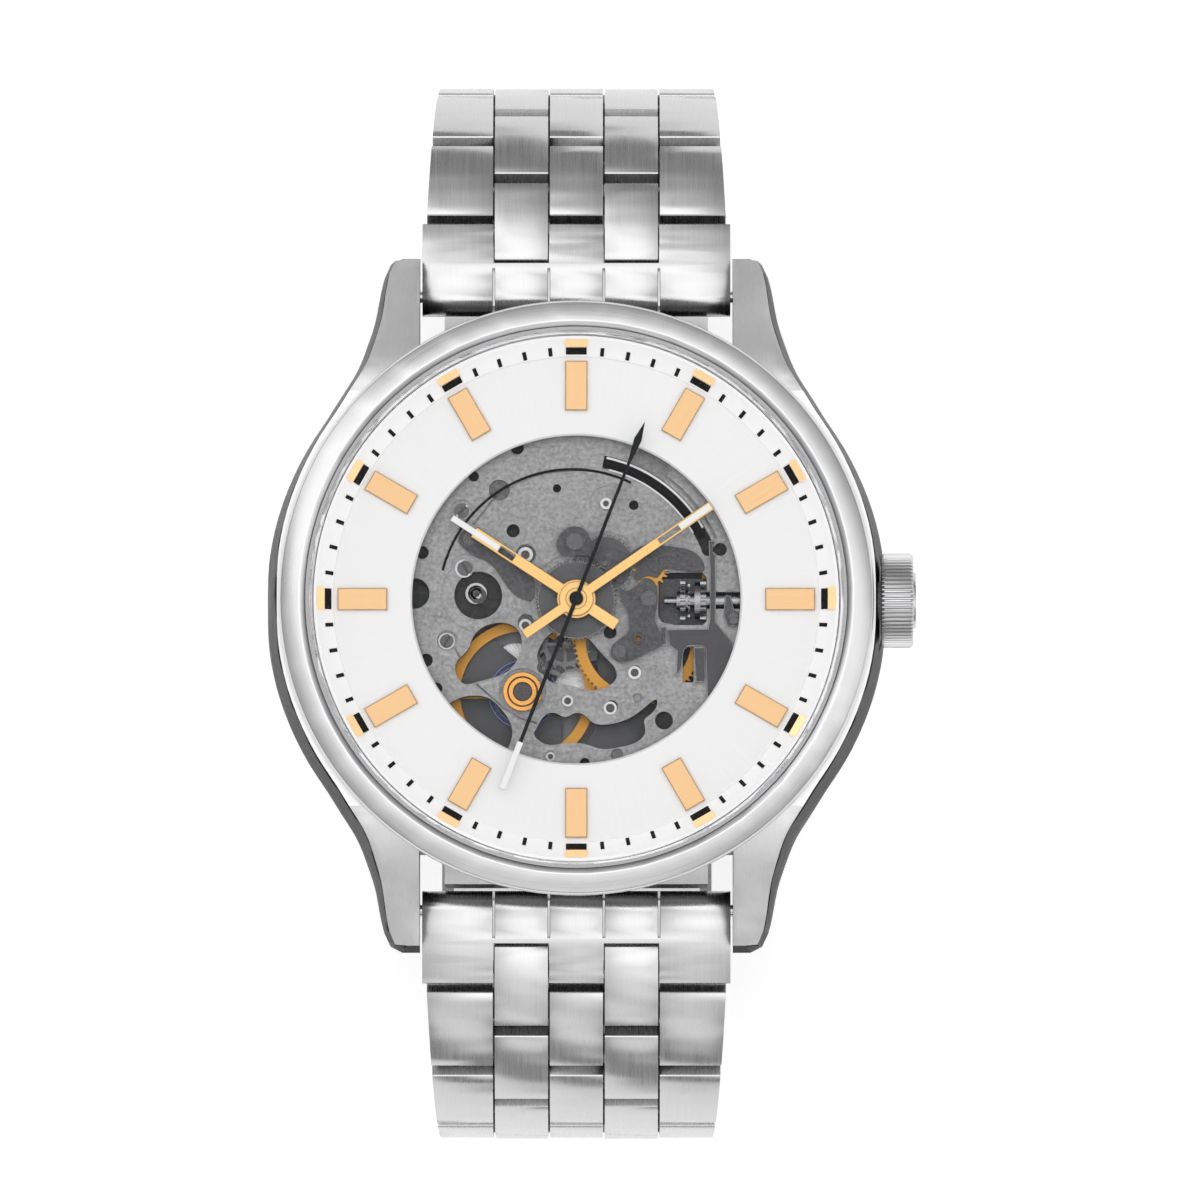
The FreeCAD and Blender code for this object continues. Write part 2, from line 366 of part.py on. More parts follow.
for k in range(64):
    b = Part.Face(Part.makePolygon([V(19.6, -0.11, CROWN_R + 0.02), V(19.6, 0.11, CROWN_R + 0.02), V(19.6, 0.03, CROWN_R - 0.16), V(19.6, -0.03, CROWN_R - 0.16), V(19.6, -0.11, CROWN_R + 0.02)])).extrude(V(2.2, 0, 0))
    b.rotate(V(0, 0, 0), V(1, 0, 0), 360.0 * k / 64)
    b.translate(V(0, 0, SZ))
    fl.append(b)
cr = cr.cut(Part.makeCompound(fl)).cut(xcyl(1.45, 19.5, 21.0, SZ)).cut(xcyl(0.45, 19.5, 21.2, SZ))
add("crown", cr)
DARK = [(2.9, 0.75), (3.44, 0.62), (4.04, 1.1), (4.41, 1.4), (5.0, 1.2), (5.2, 0.68), (5.25, -0.06), (5.15, -0.72), (5.1, -1.39), (5.44, -2.13), (5.45, -2.95), (4.92, -3.24), (3.74, -3.83), (2.78, -4.0), (2.3, -3.69), (2.25, -3.1), (2.7, -2.6), (3.3, -2.13), (3.44, -1.39), (3.3, -0.8), (3.05, -0.3), (2.88, 0.2)]
LEFT = [(-7.6, 4.0), (-7.3, 4.5), (-6.4, 4.6), (-5.67, 3.94), (-4.5, 3.2), (-3.6, 2.3), (-2.75, 1.3), (-2.72, 0.61), (-2.9, 0.0), (-3.5, 0.1), (-4.3, 0.7), (-4.85, 1.5), (-5.74, 2.5), (-6.7, 2.95), (-7.3, 3.4)]
COVER = [(3.35, 2.9), (4.3, 3.5), (6.2, 3.45), (8.0, 2.75), (8.3, 2.05), (6.2, 2.0), (5.6, 1.9), (5.2, 1.45), (4.6, 1.55), (3.9, 1.25), (3.75, 1.7), (3.95, 2.2)]
CAP = [(-1.2, 3.2), (-0.9, 4.4), (-0.1, 4.75), (0.75, 4.3), (1.1, 3.5), (2.6, 3.2), (3.3, 2.2), (2.9, 1.1), (2.1, 1.6), (1.2, 2.6), (0.2, 2.9), (-0.6, 2.85)]
RIGHT = [(8.55, 3.85), (8.95, 3.85), (9.0, 1.2), (9.0, -1.4), (9.9, -2.5), (10.2, -3.4), (9.6, -4.9), (8.9, -6.2), (8.45, -6.6), (8.35, -3.2), (8.1, -2.95), (7.3, -2.95), (6.95, -3.2), (6.75, -4.5), (6.45, -5.0), (6.5, -3.3), (6.0, -2.9), (5.85, -1.9), (8.5, -1.85), (8.62, -1.2), (8.62, 1.9)]
dk = fuse([blob(DARK, 7.66, 7.96), cyl(0.45, 7.31, 7.7, 4.66, 0.1), cyl(0.42, 7.31, 7.7, 2.8, -3.33)]).cut(cyl(2.75, 7.2, 8)).cut(cyl(0.42, 7.2, 8, 4.01, -2.47)).cut(cyl(0.3, 7.2, 8, 4.66, 0.1)).cut(cyl(0.3, 7.2, 8, 2.8, -3.33))
lf = blob(LEFT, 7.33, 7.66).cut(cyl(0.3, 7.2, 8, -6.9, 4.0))
cv = blob(COVER, 7.68, 7.84)
cv = cv.cut(cyl(2.75, 7.6, 7.9)).cut(cyl(0.5, 7.6, 8, MINUTE[0], MINUTE[1]))
post = cyl(0.35, 7.3, 7.7, 6.9, 2.75)
cp = blob(CAP, 8.0, 8.16).cut(cyl(0.28, 7.9, 8.3, MINUTE[0], MINUTE[1])).cut(cyl(1.0, 7.9, 8.3))
cp = cp.fuse(cyl(0.3, 7.31, 8.05, -0.11, 3.75))
mpost = cyl(0.18, 6.9, 8.16, MINUTE[0], MINUTE[1])
add("dial_side_plates", [dk, lf, cv.fuse(post).removeSplitter(), cp])
rt = prism(RIGHT, 7.38, 7.58).cut(cyl(0.5, 7.2, 7.7, 9.3, 3.3))
sp2 = prism([(5.75, -1.75), (6.05, -1.75), (6.05, -2.85), (5.75, -2.85)], 7.32, 7.8)
sp3 = prism([(7.6, -3.05), (8.3, -3.05), (8.3, -5.3), (7.75, -5.3)], 7.56, 7.7)
add("keyless_springs", [rt, prism([(5.5, -1.72), (5.78, -1.72), (5.78, -2.9), (5.55, -2.9)], 7.32, 7.78), sp3])
sv = prism([(9.75, -1.75), (10.6, -1.6), (10.75, -0.95), (10.2, -0.62), (9.95, 0.3), (9.62, 0.3), (9.5, -0.9)], 7.36, 7.6).cut(cyl(0.26, 7.2, 7.8, 10.15, -1.2))
add("setting_lever", sv)

# ------------------------------------------------------------------ small fixed parts
def screw(x, y, r, h0, h1, ang, shank=0.22, depth=0.5):
    s = cyl(r, h0, h1, x, y).fuse(cyl(shank, h0 - depth, h0 + 0.01, x, y))
    b = Part.makeBox(2 * r + 0.4, 0.17, 0.5, V(-r - 0.2, -0.085, z(h1) - 0.14))
    b.rotate(V(0, 0, 0), V(0, 0, 1), ang)
    b.translate(V(x, y, 0))
    return s.cut(b)
sc = [screw(-0.11, 3.75, .55, 8.17, 8.38, 75, 0.01, 0.0), screw(4.66, 0.1, .5, 7.97, 8.12, 20, .28, .35), screw(2.8, -3.33, .43, 7.97, 8.12, 75, .28, .35), screw(-6.9, 4.0, .45, 7.67, 7.82, 30, .28, .3), screw(-7.4, 5.79, .5, 7.11, 7.28, 45, .2, .0001), screw(-7.18, 2.09, .5, 7.16, 7.3, 120, .2, .0001), screw(10.15, -1.2, .36, 7.62, 7.75, 10, .24, .3), screw(-8.34, -2.59, .42, 7.06, 7.2, 60, .2, .0001)]
sc.append(mpost)
for (x, y) in ((10.9, 4.7), (-10.9, 4.7), (6.1, -10.2)):
    sc.append(screw(x, y, .7, 7.31, 7.55, 30, .2, .0001))
add("movement_screws", sc)
jw = []
def jewel(x, y, ro, ri, h0, h1):
    return ring(ro, ri, h0, h1, x, y)
jw += [jewel(4.01, -2.47, .40, .17, 7.3, 7.9).cut(cyl(.28, 7.7, 8.0, 4.01, -2.47)) , jewel(-3.25, 2.98, .6, .3, 7.12, 7.3), jewel(-3.25, -1.4, .5, .2, 7.12, 7.3), jewel(-0.48, -6.43, .19, .08, 6.4, 7.25)]
jw += [ring(1.2, 0.5, 6.8, 7.0, *BALANCE), ring(.95, .6, 7.0, 7.22, *BALANCE), jewel(-6.34, .33, .54, .2, 6.56, 7.1)]
jw += [jewel(THIRD[0], THIRD[1], .5, .17, 6.1, 6.5), jewel(ESCAPE[0], ESCAPE[1], .38, .14, 6.1, 6.55), jewel(PALLET[0], PALLET[1], .38, .14, 6.1, 6.55)]
jw += [jewel(0, 0, .29, .22, 2.95, 3.5), jewel(THIRD[0], THIRD[1], .29, .17, 2.95, 3.5), jewel(SECOND[0], SECOND[1], .29, .22, 2.95, 3.5), jewel(BALANCE[0], BALANCE[1], .29, .14, 2.95, 3.18)]
add("jewels", jw)
ro = fuse([prism([(0, 0)] + [pol(12.7, 180 + 180 * i / 40) for i in range(41)], 1.75, 2.0), prism([pol(12.7, 180 + 180 * i / 40) for i in range(41)] + [pol(9.3, 360 - 180 * i / 40) for i in range(41)], 1.45, 2.35), cyl(1.9, 1.75, 2.0)])
ro = ro.cut(cyl(0.86, 1.3, 2.6))
for k in range(3):
    ro = ro.cut(cyl(1.5, 1.3, 2.6, *pol(5.6, 225 + 45 * k)))
add("rotor", ro)

# ------------------------------------------------------------------ bracelet
# Pin line: every chain is drawn in the Y-Z plane for the 12 side, and mirrored for the 6 side.
ZB = z(BAR_ZH)
pins = [(PIN1_Y, ZB - (PIN1_Y - BAR_Y) * math.tan(math.radians(END_TILT)))]
for t in TILTS:
    y, zz = pins[-1]
    pins.append((y + H * math.cos(math.radians(t)), zz - H * math.sin(math.radians(t))))
print("last pin", pins[-1])
CLASP_Y, CLASP_Z = pins[-1]

DOME = 0.3            # fall of a link's domed top from its middle to each end
def side_profile(L, holes, top=TOPW, r=ENDR, nose=0.0):
    # u along the link from pin 0 (u=0) to pin 1 (u=L), w outward; returns a face in the Y-Z plane
    # the top is one shallow arc; with a nose the near end rolls over like the edge of a pillow
    q = []
    n = 8
    for i in range(n + 1):      # rounded lower far end
        a = math.radians(-90 + 90 * i / n)
        q.append((L + r * math.cos(a), r * math.sin(a)))
    q.append((L + r, top - DOME - 0.02))
    far = (L + r - 0.06, top - DOME + 0.05)
    mid = (L / 2.0, top + 0.05)
    near = (-r + 0.06, top - DOME + 0.05)
    q2 = [(-r, top - DOME - 0.02)]
    for i in range(n + 1):
        a = math.radians(180 + 90 * i / n)
        q2.append((r * math.cos(a), r * math.sin(a)))
    P = lambda p: V(0, p[0], p[1])
    q.append(far)
    e = [Part.makeLine(P(q[i]), P(q[i + 1])) for i in range(len(q) - 1) if (P(q[i]) - P(q[i + 1])).Length > 1e-6]
    if nose:
        k = 4 * (mid[1] - near[1]) / (far[0] - near[0]) ** 2
        u1 = -r + nose
        w1 = mid[1] - k * (u1 - mid[0]) ** 2
        um = (u1 + far[0]) / 2.0
        e.append(Part.Arc(P(far), P((um, mid[1] - k * (um - mid[0]) ** 2)), P((u1, w1))).toShape())
        w2 = w1 - nose * 0.92
        q2[0] = (-r, w2)
        e.append(Part.Arc(P((u1, w1)), P((-r + nose * 0.27, w1 - nose * 0.25)), P(q2[0])).toShape())
    else:
        e.append(Part.Arc(P(far), P(mid), P(near)).toShape())
        q2 = [near] + q2
    q2.append(q[0])
    e += [Part.makeLine(P(q2[i]), P(q2[i + 1])) for i in range(len(q2) - 1) if (P(q2[i]) - P(q2[i + 1])).Length > 1e-6]
    return Part.Face(Part.Wire(e))

def place(shape, p, tilt):
    # u axis points along the chain: +Y and down by tilt; w points outward
    shape.rotate(V(0, 0, 0), V(1, 0, 0), -tilt)
    shape.translate(V(0, p[0], p[1]))
    return shape

GAP = 0.06
def column(x0, x1, L, hole):
    s = side_profile(L, None).extrude(V(x1 - x0, 0, 0))
    s.translate(V(x0, 0, 0))
    for u in (0.0, L):
        s = s.cut(Part.makeCylinder(hole, x1 - x0 + 2, V(x0 - 1, u, 0), V(1, 0, 0)))
    return s

def row(kind, L, w0, w1, hole=0.56):
    out = []
    if kind == "B":
        for s in (1, -1):
            a, b = COL1 + GAP, COL2 - GAP
            out.append(column(a, b, L, hole) if s > 0 else column(-b, -a, L, hole))
    else:
        out.append(column(-COL1 + GAP, COL1 - GAP, L, hole))
        for s in (1, -1):
            c = column(COL2 + GAP, w0, L, hole)
            # outer edge tapers towards the clasp
            tp = Part.Face(Part.makePolygon([V(w0, -2, -3), V(w0 + 2, -2, -3), V(w0 + 2, L + 2, -3), V(w1, L + ENDR, -3), V(w0, -ENDR, -3), V(w0, -2, -3)])).extrude(V(0, 0, 6))
            c = c.cut(tp)
            if s < 0:
                c = c.mirror(V(0, 0, 0), V(1, 0, 0))
            out.append(c)
    return out

def pin(y, zz, half, r=0.5):
    return Part.makeCylinder(r, 2 * half, V(-half, y, zz), V(1, 0, 0))

def mirror6(shapes):
    return [s.mirror(V(0, 0, 0), V(0, 1, 0)) for s in shapes]

# end link: solid block around the spring bar with the column pattern cut in
L0 = math.hypot(pins[0][0] - BAR_Y, pins[0][1] - ZB)
def end_link():
    pcs = []
    for (a, b, kind) in ((-9.97, -COL2, "A"), (-COL2, -COL1, "B"), (-COL1, COL1, "A"), (COL1, COL2, "B"), (COL2, 9.97, "A")):
        if kind == "A":
            s = side_profile(L0, None, nose=1.25).extrude(V(b - a, 0, 0))
        else:
            s = side_profile(L0, None, nose=1.25).extrude(V(b - a, 0, 0))
            s = s.cut(Part.makeBox(b - a + 2, 5, 6, V(-1, 1.95, -3)))
        s.translate(V(a, 0, 0))
        pcs.append(s)
    e = pcs[0]
    for s in pcs[1:]:
        e = e.fuse(s)
    g = []
    for x in (-COL2, -COL1, COL1, COL2):
        g.append(Part.makeBox(0.16, 4.6, 3, V(x - 0.08, -3, TOPW - 0.55)))
        g.append(Part.makeBox(0.16, 0.75, 3, V(x - 0.08, -ENDR - 0.25, 0)))
    g.append(Part.makeCylinder(0.7, 22, V(-11, 0, 0), V(1, 0, 0)))
    g.append(Part.makeCylinder(0.56, 22, V(-11, L0, 0), V(1, 0, 0)))
    for s in (1, -1):
        a, b = (COL1 - 0.02, COL2 + 0.02) if s > 0 else (-COL2 - 0.02, -COL1 + 0.02)
        g.append(Part.makeCylinder(ENDR + 0.12, b - a, V(a, L0, 0), V(1, 0, 0)))
    e = e.cut(Part.makeCompound(g))
    return place(e, (BAR_Y, ZB), END_TILT)
el = end_link()
add("end_link_12", el)
add("end_link_6", el.mirror(V(0, 0, 0), V(0, 1, 0)))

for k in range(8):
    pb, pa = pins[2 * k], pins[2 * k + 1]
    tb_, ta_ = TILTS[2 * k], TILTS[2 * k + 1]
    w0, w1 = ROW_HALF[k] - 0.02, ROW_HALF[k + 1] + 0.04
    sol = [place(s, pb, tb_) for s in row("B", H, w0, w1)]
    sol += [place(s, pa, ta_) for s in row("A", H, w0, w1)]
    sol.append(pin(pb[0], pb[1], ROW_HALF[k] - 0.75))
    sol.append(pin(pa[0], pa[1], ROW_HALF[k] - 0.75))
    six = mirror6(sol)
    if k == 7:
        # the 6 side keeps the clasp's spring bar, its tips just short of the cover's walls
        six.append(Part.makeCylinder(0.5, 15.9, V(-7.95, -CLASP_Y, CLASP_Z), V(1, 0, 0)))
    add("link_12_%d" % (k + 1), sol)
    add("link_6_%d" % (k + 1), six)

# ------------------------------------------------------------------ folding clasp (heights above the rest plane)
def bx(x0, x1, y0, y1, z0, z1):
    return Part.makeBox(x1 - x0, y1 - y0, z1 - z0, V(x0, y0, z0))
def pc(r, x0, x1, y, zz):
    return Part.makeCylinder(r, x1 - x0, V(x0, y, zz), V(1, 0, 0))
def yz(pts, x0, x1):
    return Part.Face(Part.makePolygon([V(x0, p[0], p[1]) for p in pts] + [V(x0, pts[0][0], pts[0][1])])).extrude(V(x1 - x0, 0, 0))
CH_Y, CH_Z = 14.6, 1.55     # cover to outer blade
FH_Y, FH_Z = -12.6, 2.05    # outer blade to inner blade
SC_Y, SC_Z = 9.8, 0.62      # safety catch
PY, PZ = CLASP_Y, CLASP_Z
base = yz([(-16.6, 0.35), (-15.2, 0.08), (-13.5, 0), (13.5, 0), (15.2, 0.08), (17.0, 0.35), (17.0, 0.95), (15.5, 0.85), (-15.5, 0.85), (-16.6, 0.95)], -8.9, 8.9)
wallp = [(-PY - 1.5, PZ - 0.9), (-PY - 1.1, PZ + 0.9), (-PY + 1.0, PZ + 1.0), (-14.5, 3.3), (12.0, 3.1), (16.2, 2.7), (17.0, 1.9), (17.0, 0.35), (15.2, 0.08), (13.5, 0.0), (-13.5, 0.0), (-15.2, 0.08), (-16.6, 0.35), (-PY - 0.9, PZ - 1.6)]
cover = fuse([base, yz(wallp, -8.9, -8.12), yz(wallp, 8.12, 8.9), bx(-8.3, -6.3, SC_Y - 0.9, SC_Y + 0.9, 0.5, 1.15), bx(6.3, 8.3, SC_Y - 0.9, SC_Y + 0.9, 0.5, 1.15)])
ccut = [bx(-6.25, 6.25, 8.7, 18, -0.5, 1.0), bx(-6.25, 6.25, 8.7, 10.9, -0.5, 2.0), pc(0.43, -9.5, 9.5, CH_Y, CH_Z), pc(0.33, -7.6, 7.6, SC_Y, SC_Z), pc(0.6, -9.5, 9.5, -PY, PZ)]
cover = cutall(cover, ccut)
try:
    ed = [e for e in cover.Edges if e.BoundBox.XMax - e.BoundBox.XMin < 0.01 and abs(abs(e.CenterOfMass.x) - 8.9) < 0.01 and e.CenterOfMass.z < 0.4 and e.Length > 1.0]
    c2 = cover.makeChamfer(0.35, ed)
    if c2.isValid():
        cover = c2
except Exception as ex:
    print("cover chamfer", ex)
add("clasp_cover", cover)
catch = fuse([bx(-6.15, 6.15, SC_Y, 16.9, 0.06, 0.62), pc(0.52, -6.15, 6.15, SC_Y, SC_Z), pc(0.28, -7.5, 7.5, SC_Y, SC_Z), bx(-6.15, 6.15, 16.35, 17.35, 0.2, 0.62), bx(-4.0, 4.0, 17.02, 17.35, 0.3, 1.5)])
add("clasp_safety_catch", catch)
ob = fuse([bx(-5.8, 5.8, FH_Y + 1.0, CH_Y - 0.3, 1.2, 1.85), pc(0.78, -5.8, 5.8, CH_Y, CH_Z), bx(-5.8, -2.6, FH_Y, FH_Y + 1.3, 1.2, 1.85), bx(2.6, 5.8, FH_Y, FH_Y + 1.3, 1.2, 1.85), pc(0.85, -5.8, -2.6, FH_Y, FH_Z), pc(0.85, 2.6, 5.8, FH_Y, FH_Z)])
ob = ob.cut(bx(-2.4, 2.4, FH_Y + 3.5, CH_Y - 4.5, 1, 2)).cut(pc(0.43, -9, 9, FH_Y, FH_Z)).cut(pc(0.32, -9, 9, CH_Y, CH_Z))
opin = pc(0.31, -8.7, 8.7, CH_Y, CH_Z)
ob = ob.cut(pc(0.95, -2.6, 2.6, FH_Y, FH_Z))
add("clasp_outer_blade", [ob, pc(0.3, -8.8, 8.8, CH_Y, CH_Z)])
ibp = [(FH_Y + 0.5, 2.15), (11.3, 2.15), (PY - 0.6, PZ - 0.42), (PY - 0.2, PZ + 0.45), (PY - 1.2, PZ + 0.35), (11.2, 2.85), (FH_Y, 2.85)]
ib = yz(ibp, -5.29, 5.29)
ib = ib.cut(yz([(PY - 1.42, 0), (PY + 3, 0), (PY + 3, 6), (PY - 1.42, 6)], -COL1 - 0.06, COL1 + 0.06)).cut(yz([(PY - 1.42, 0), (PY + 3, 0), (PY + 3, 6), (PY - 1.42, 6)], COL2 - 0.06, 9)).cut(yz([(PY - 1.42, 0), (PY + 3, 0), (PY + 3, 6), (PY - 1.42, 6)], -9, -COL2 + 0.06))
ib = fuse([ib, pc(1.1, COL1 + 0.06, COL2 - 0.06, PY, PZ), pc(1.1, -COL2 + 0.06, -COL1 - 0.06, PY, PZ), pc(0.8, -2.45, 2.45, FH_Y, FH_Z)])
ib = ib.cut(pc(0.56, -9, 9, PY, PZ)).cut(bx(-5.9, -2.5, FH_Y - 1, FH_Y + 0.98, 1, 3)).cut(bx(2.5, 5.9, FH_Y - 1, FH_Y + 0.98, 1, 3)).cut(bx(-2.6, 2.6, -6.0, 7.0, 2, 3))
ib = ib.cut(pc(0.32, -9, 9, FH_Y, FH_Z))
add("clasp_inner_blade", [ib, pc(0.31, -5.7, 5.7, FH_Y, FH_Z), pc(0.5, -7.3, 7.3, PY, PZ)])
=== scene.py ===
# Skeleton wristwatch: looks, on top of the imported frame. Metres, same frame as the CAD.
import bpy, bmesh, math
from mathutils import Vector, Matrix


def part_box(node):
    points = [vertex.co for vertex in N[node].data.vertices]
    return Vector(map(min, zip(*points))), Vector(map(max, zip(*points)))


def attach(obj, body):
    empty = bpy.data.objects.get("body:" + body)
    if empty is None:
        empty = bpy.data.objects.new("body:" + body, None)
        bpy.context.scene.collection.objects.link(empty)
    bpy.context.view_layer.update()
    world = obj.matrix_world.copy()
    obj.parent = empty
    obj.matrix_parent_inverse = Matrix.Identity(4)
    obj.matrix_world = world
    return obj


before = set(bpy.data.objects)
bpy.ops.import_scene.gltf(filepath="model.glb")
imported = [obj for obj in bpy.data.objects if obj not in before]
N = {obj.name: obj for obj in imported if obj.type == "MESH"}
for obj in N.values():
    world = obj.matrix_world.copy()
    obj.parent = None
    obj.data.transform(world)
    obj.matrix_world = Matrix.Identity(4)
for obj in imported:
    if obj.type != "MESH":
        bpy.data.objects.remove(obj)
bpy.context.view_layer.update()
MM = 0.001
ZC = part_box("caseback")[0].z          # caseback's outer face
scene = bpy.context.scene


# ------------------------------------------------------------------ material helpers
class Mat:
    def __init__(self, name, base, metallic, rough):
        self.m = bpy.data.materials.new(name)
        self.m.use_nodes = True
        self.t = self.m.node_tree
        self.p = self.t.nodes["Principled BSDF"]
        self.base = base
        self.p.inputs["Base Color"].default_value = (*base, 1)
        self.p.inputs["Metallic"].default_value = metallic
        self.p.inputs["Roughness"].default_value = rough
        self.rough = rough

    def new(self, kind, **kw):
        n = self.t.nodes.new(kind)
        for k, v in kw.items():
            setattr(n, k, v)
        return n

    def link(self, a, b):
        self.t.links.new(a, b)

    def coords(self):
        return self.new("ShaderNodeTexCoord").outputs["Object"]

    def math(self, op, a, b=None, c=None):
        n = self.new("ShaderNodeMath", operation=op)
        for i, v in enumerate((a, b, c)):
            if v is None:
                continue
            if isinstance(v, (int, float)):
                n.inputs[i].default_value = v
            else:
                self.link(v, n.inputs[i])
        return n.outputs[0]

    def mapped(self, vec, scale):
        n = self.new("ShaderNodeMapping")
        n.inputs["Scale"].default_value = scale
        self.link(vec, n.inputs["Vector"])
        return n.outputs[0]

    def noise(self, vec, scale=1.0, detail=2.0, rough=0.5):
        n = self.new("ShaderNodeTexNoise")
        n.inputs["Scale"].default_value = scale
        n.inputs["Detail"].default_value = detail
        n.inputs["Roughness"].default_value = rough
        self.link(vec, n.inputs["Vector"])
        return n.outputs["Fac"]

    def maprange(self, v, a, b, c, d):
        n = self.new("ShaderNodeMapRange")
        for i, x in ((1, a), (2, b), (3, c), (4, d)):
            n.inputs[i].default_value = x
        self.link(v, n.inputs[0])
        return n.outputs[0]

    def tint(self, fac, lo, hi, a=0.3, b=0.7):
        # base colour between lo and hi times the base
        r = self.new("ShaderNodeValToRGB")
        e = r.color_ramp.elements
        e[0].position, e[1].position = a, b
        e[0].color = (*[min(1, c * lo) for c in self.base], 1)
        e[1].color = (*[min(1, c * hi) for c in self.base], 1)
        self.link(fac, r.inputs[0])
        return r.outputs[0]

    def bump(self, h, strength, dist, normal=None):
        b = self.new("ShaderNodeBump")
        b.inputs["Strength"].default_value = strength
        b.inputs["Distance"].default_value = dist
        self.link(h, b.inputs["Height"])
        if normal is not None:
            self.link(normal, b.inputs["Normal"])
        return b.outputs[0]

    def out(self, color=None, rough=None, normal=None):
        if color is not None:
            self.link(color, self.p.inputs["Base Color"])
        if rough is not None:
            self.link(rough, self.p.inputs["Roughness"])
        if normal is not None:
            self.link(normal, self.p.inputs["Normal"])
        return self.m

    def polar(self):
        # radius and angle about the hands' axis
        s = self.new("ShaderNodeSeparateXYZ")
        self.link(self.coords(), s.inputs[0])
        x, y, z = s.outputs
        r = self.math("SQRT", self.math("ADD", self.math("MULTIPLY", x, x), self.math("MULTIPLY", y, y)))
        a = self.math("ARCTAN2", y, x)
        return x, y, z, r, a

    def combine(self, x, y, z=0.0):
        c = self.new("ShaderNodeCombineXYZ")
        for i, v in enumerate((x, y, z)):
            if isinstance(v, (int, float)):
                c.inputs[i].default_value = v
            else:
                self.link(v, c.inputs[i])
        return c.outputs[0]


def brushed(name, base, rough, grain=(16000, 260, 260), amount=0.10, metallic=1.0, bump=0.25, smudge=0.06):
    k = Mat(name, base, metallic, rough)
    co = k.coords()
    fine = k.noise(k.mapped(co, grain), 1.0, 3.0, 0.6)
    wide = k.noise(k.mapped(co, tuple(g * 0.22 for g in grain)), 1.0, 2.0, 0.5)
    cloud = k.noise(co, 160.0, 3.0, 0.55)
    mixv = k.math("ADD", k.math("MULTIPLY", fine, 0.65), k.math("MULTIPLY", wide, 0.35))
    col = k.tint(mixv, 1 - amount, 1 + amount * 0.5)
    r = k.math("ADD", k.maprange(mixv, 0.3, 0.7, rough - 0.05, rough + 0.07), k.maprange(cloud, 0.3, 0.7, -smudge / 2, smudge / 2))
    return k.out(col, r, k.bump(mixv, bump, 6e-6))


def ringbrushed(name, base, rough, mode="ring", amount=0.10, metallic=1.0, bump=0.25):
    k = Mat(name, base, metallic, rough)
    x, y, z, r, a = k.polar()
    if mode == "ring":
        vec = k.combine(k.math("MULTIPLY", r, 15000), k.math("MULTIPLY", a, 3.0), k.math("MULTIPLY", z, 6000))
    else:
        vec = k.combine(k.math("MULTIPLY", r, 160), k.math("MULTIPLY", k.math("SINE", a), 95.0), k.math("MULTIPLY", k.math("COSINE", a), 95.0))
    fine = k.noise(vec, 1.0, 3.0, 0.6)
    cloud = k.noise(k.coords(), 150.0, 3.0, 0.5)
    col = k.tint(fine, 1 - amount, 1 + amount * 0.5)
    rr = k.math("ADD", k.maprange(fine, 0.3, 0.7, rough - 0.05, rough + 0.06), k.maprange(cloud, 0.3, 0.7, -0.03, 0.03))
    return k.out(col, rr, k.bump(fine, bump, 5e-6))


def grainy(name, base, rough, metallic, scale=9000.0, amount=0.2, bump=0.5, dist=1.2e-5, cloud_amt=0.12):
    k = Mat(name, base, metallic, rough)
    co = k.coords()
    g = k.noise(co, scale, 2.0, 0.7)
    c = k.noise(co, 380.0, 3.0, 0.6)
    v = k.math("ADD", k.math("MULTIPLY", g, 1 - cloud_amt * 2), k.math("MULTIPLY", c, cloud_amt * 2))
    col = k.tint(v, 1 - amount, 1 + amount)
    r = k.maprange(c, 0.3, 0.7, rough - 0.06, rough + 0.06)
    return k.out(col, r, k.bump(g, bump, dist))


STEEL = (0.50, 0.50, 0.505)


def case_material():
    # satin on the surfaces that face up, given a lighter steel colour as painted light; mirror-polished flanks with a
    # dark colour painted on as shade
    k = Mat("case_painted_light_top_painted_shade_flank", (0.75, 0.75, 0.755), 1.0, 0.3)
    # painted shade: a near-black edge tint dims the flanks' grazing reflections
    k.p.inputs["Specular Tint"].default_value = (0.04, 0.04, 0.04, 1)
    co = k.coords()
    fine = k.noise(k.mapped(co, (14000, 240, 3000)), 1.0, 3.0, 0.6)
    cloud = k.noise(co, 160.0, 3.0, 0.55)
    g = k.new("ShaderNodeNewGeometry")
    sp = k.new("ShaderNodeSeparateXYZ")
    k.link(g.outputs["Normal"], sp.inputs[0])
    up = k.maprange(k.math("ABSOLUTE", sp.outputs[2]), 0.30, 0.48, 0.0, 1.0)
    top = k.tint(k.math("ADD", k.math("MULTIPLY", fine, 0.6), k.math("MULTIPLY", cloud, 0.4)), 0.90, 1.06)
    # painted shade: the flanks' dark colour, mixed in by the direction the face points
    side = k.new("ShaderNodeValToRGB")
    e = side.color_ramp.elements
    e[0].color = (0.21, 0.21, 0.213, 1)
    e[1].color = (0.27, 0.27, 0.274, 1)
    k.link(cloud, side.inputs[0])
    mx = k.new("ShaderNodeMix", data_type="RGBA")
    k.link(up, mx.inputs[0])
    k.link(side.outputs[0], mx.inputs[6])
    k.link(top, mx.inputs[7])
    rough = k.math("ADD", k.maprange(up, 0.0, 1.0, 0.24, 0.46), k.maprange(fine, 0.3, 0.7, -0.04, 0.05))
    return k.out(mx.outputs[2], rough, k.bump(k.math("MULTIPLY", fine, up), 0.2, 6e-6))


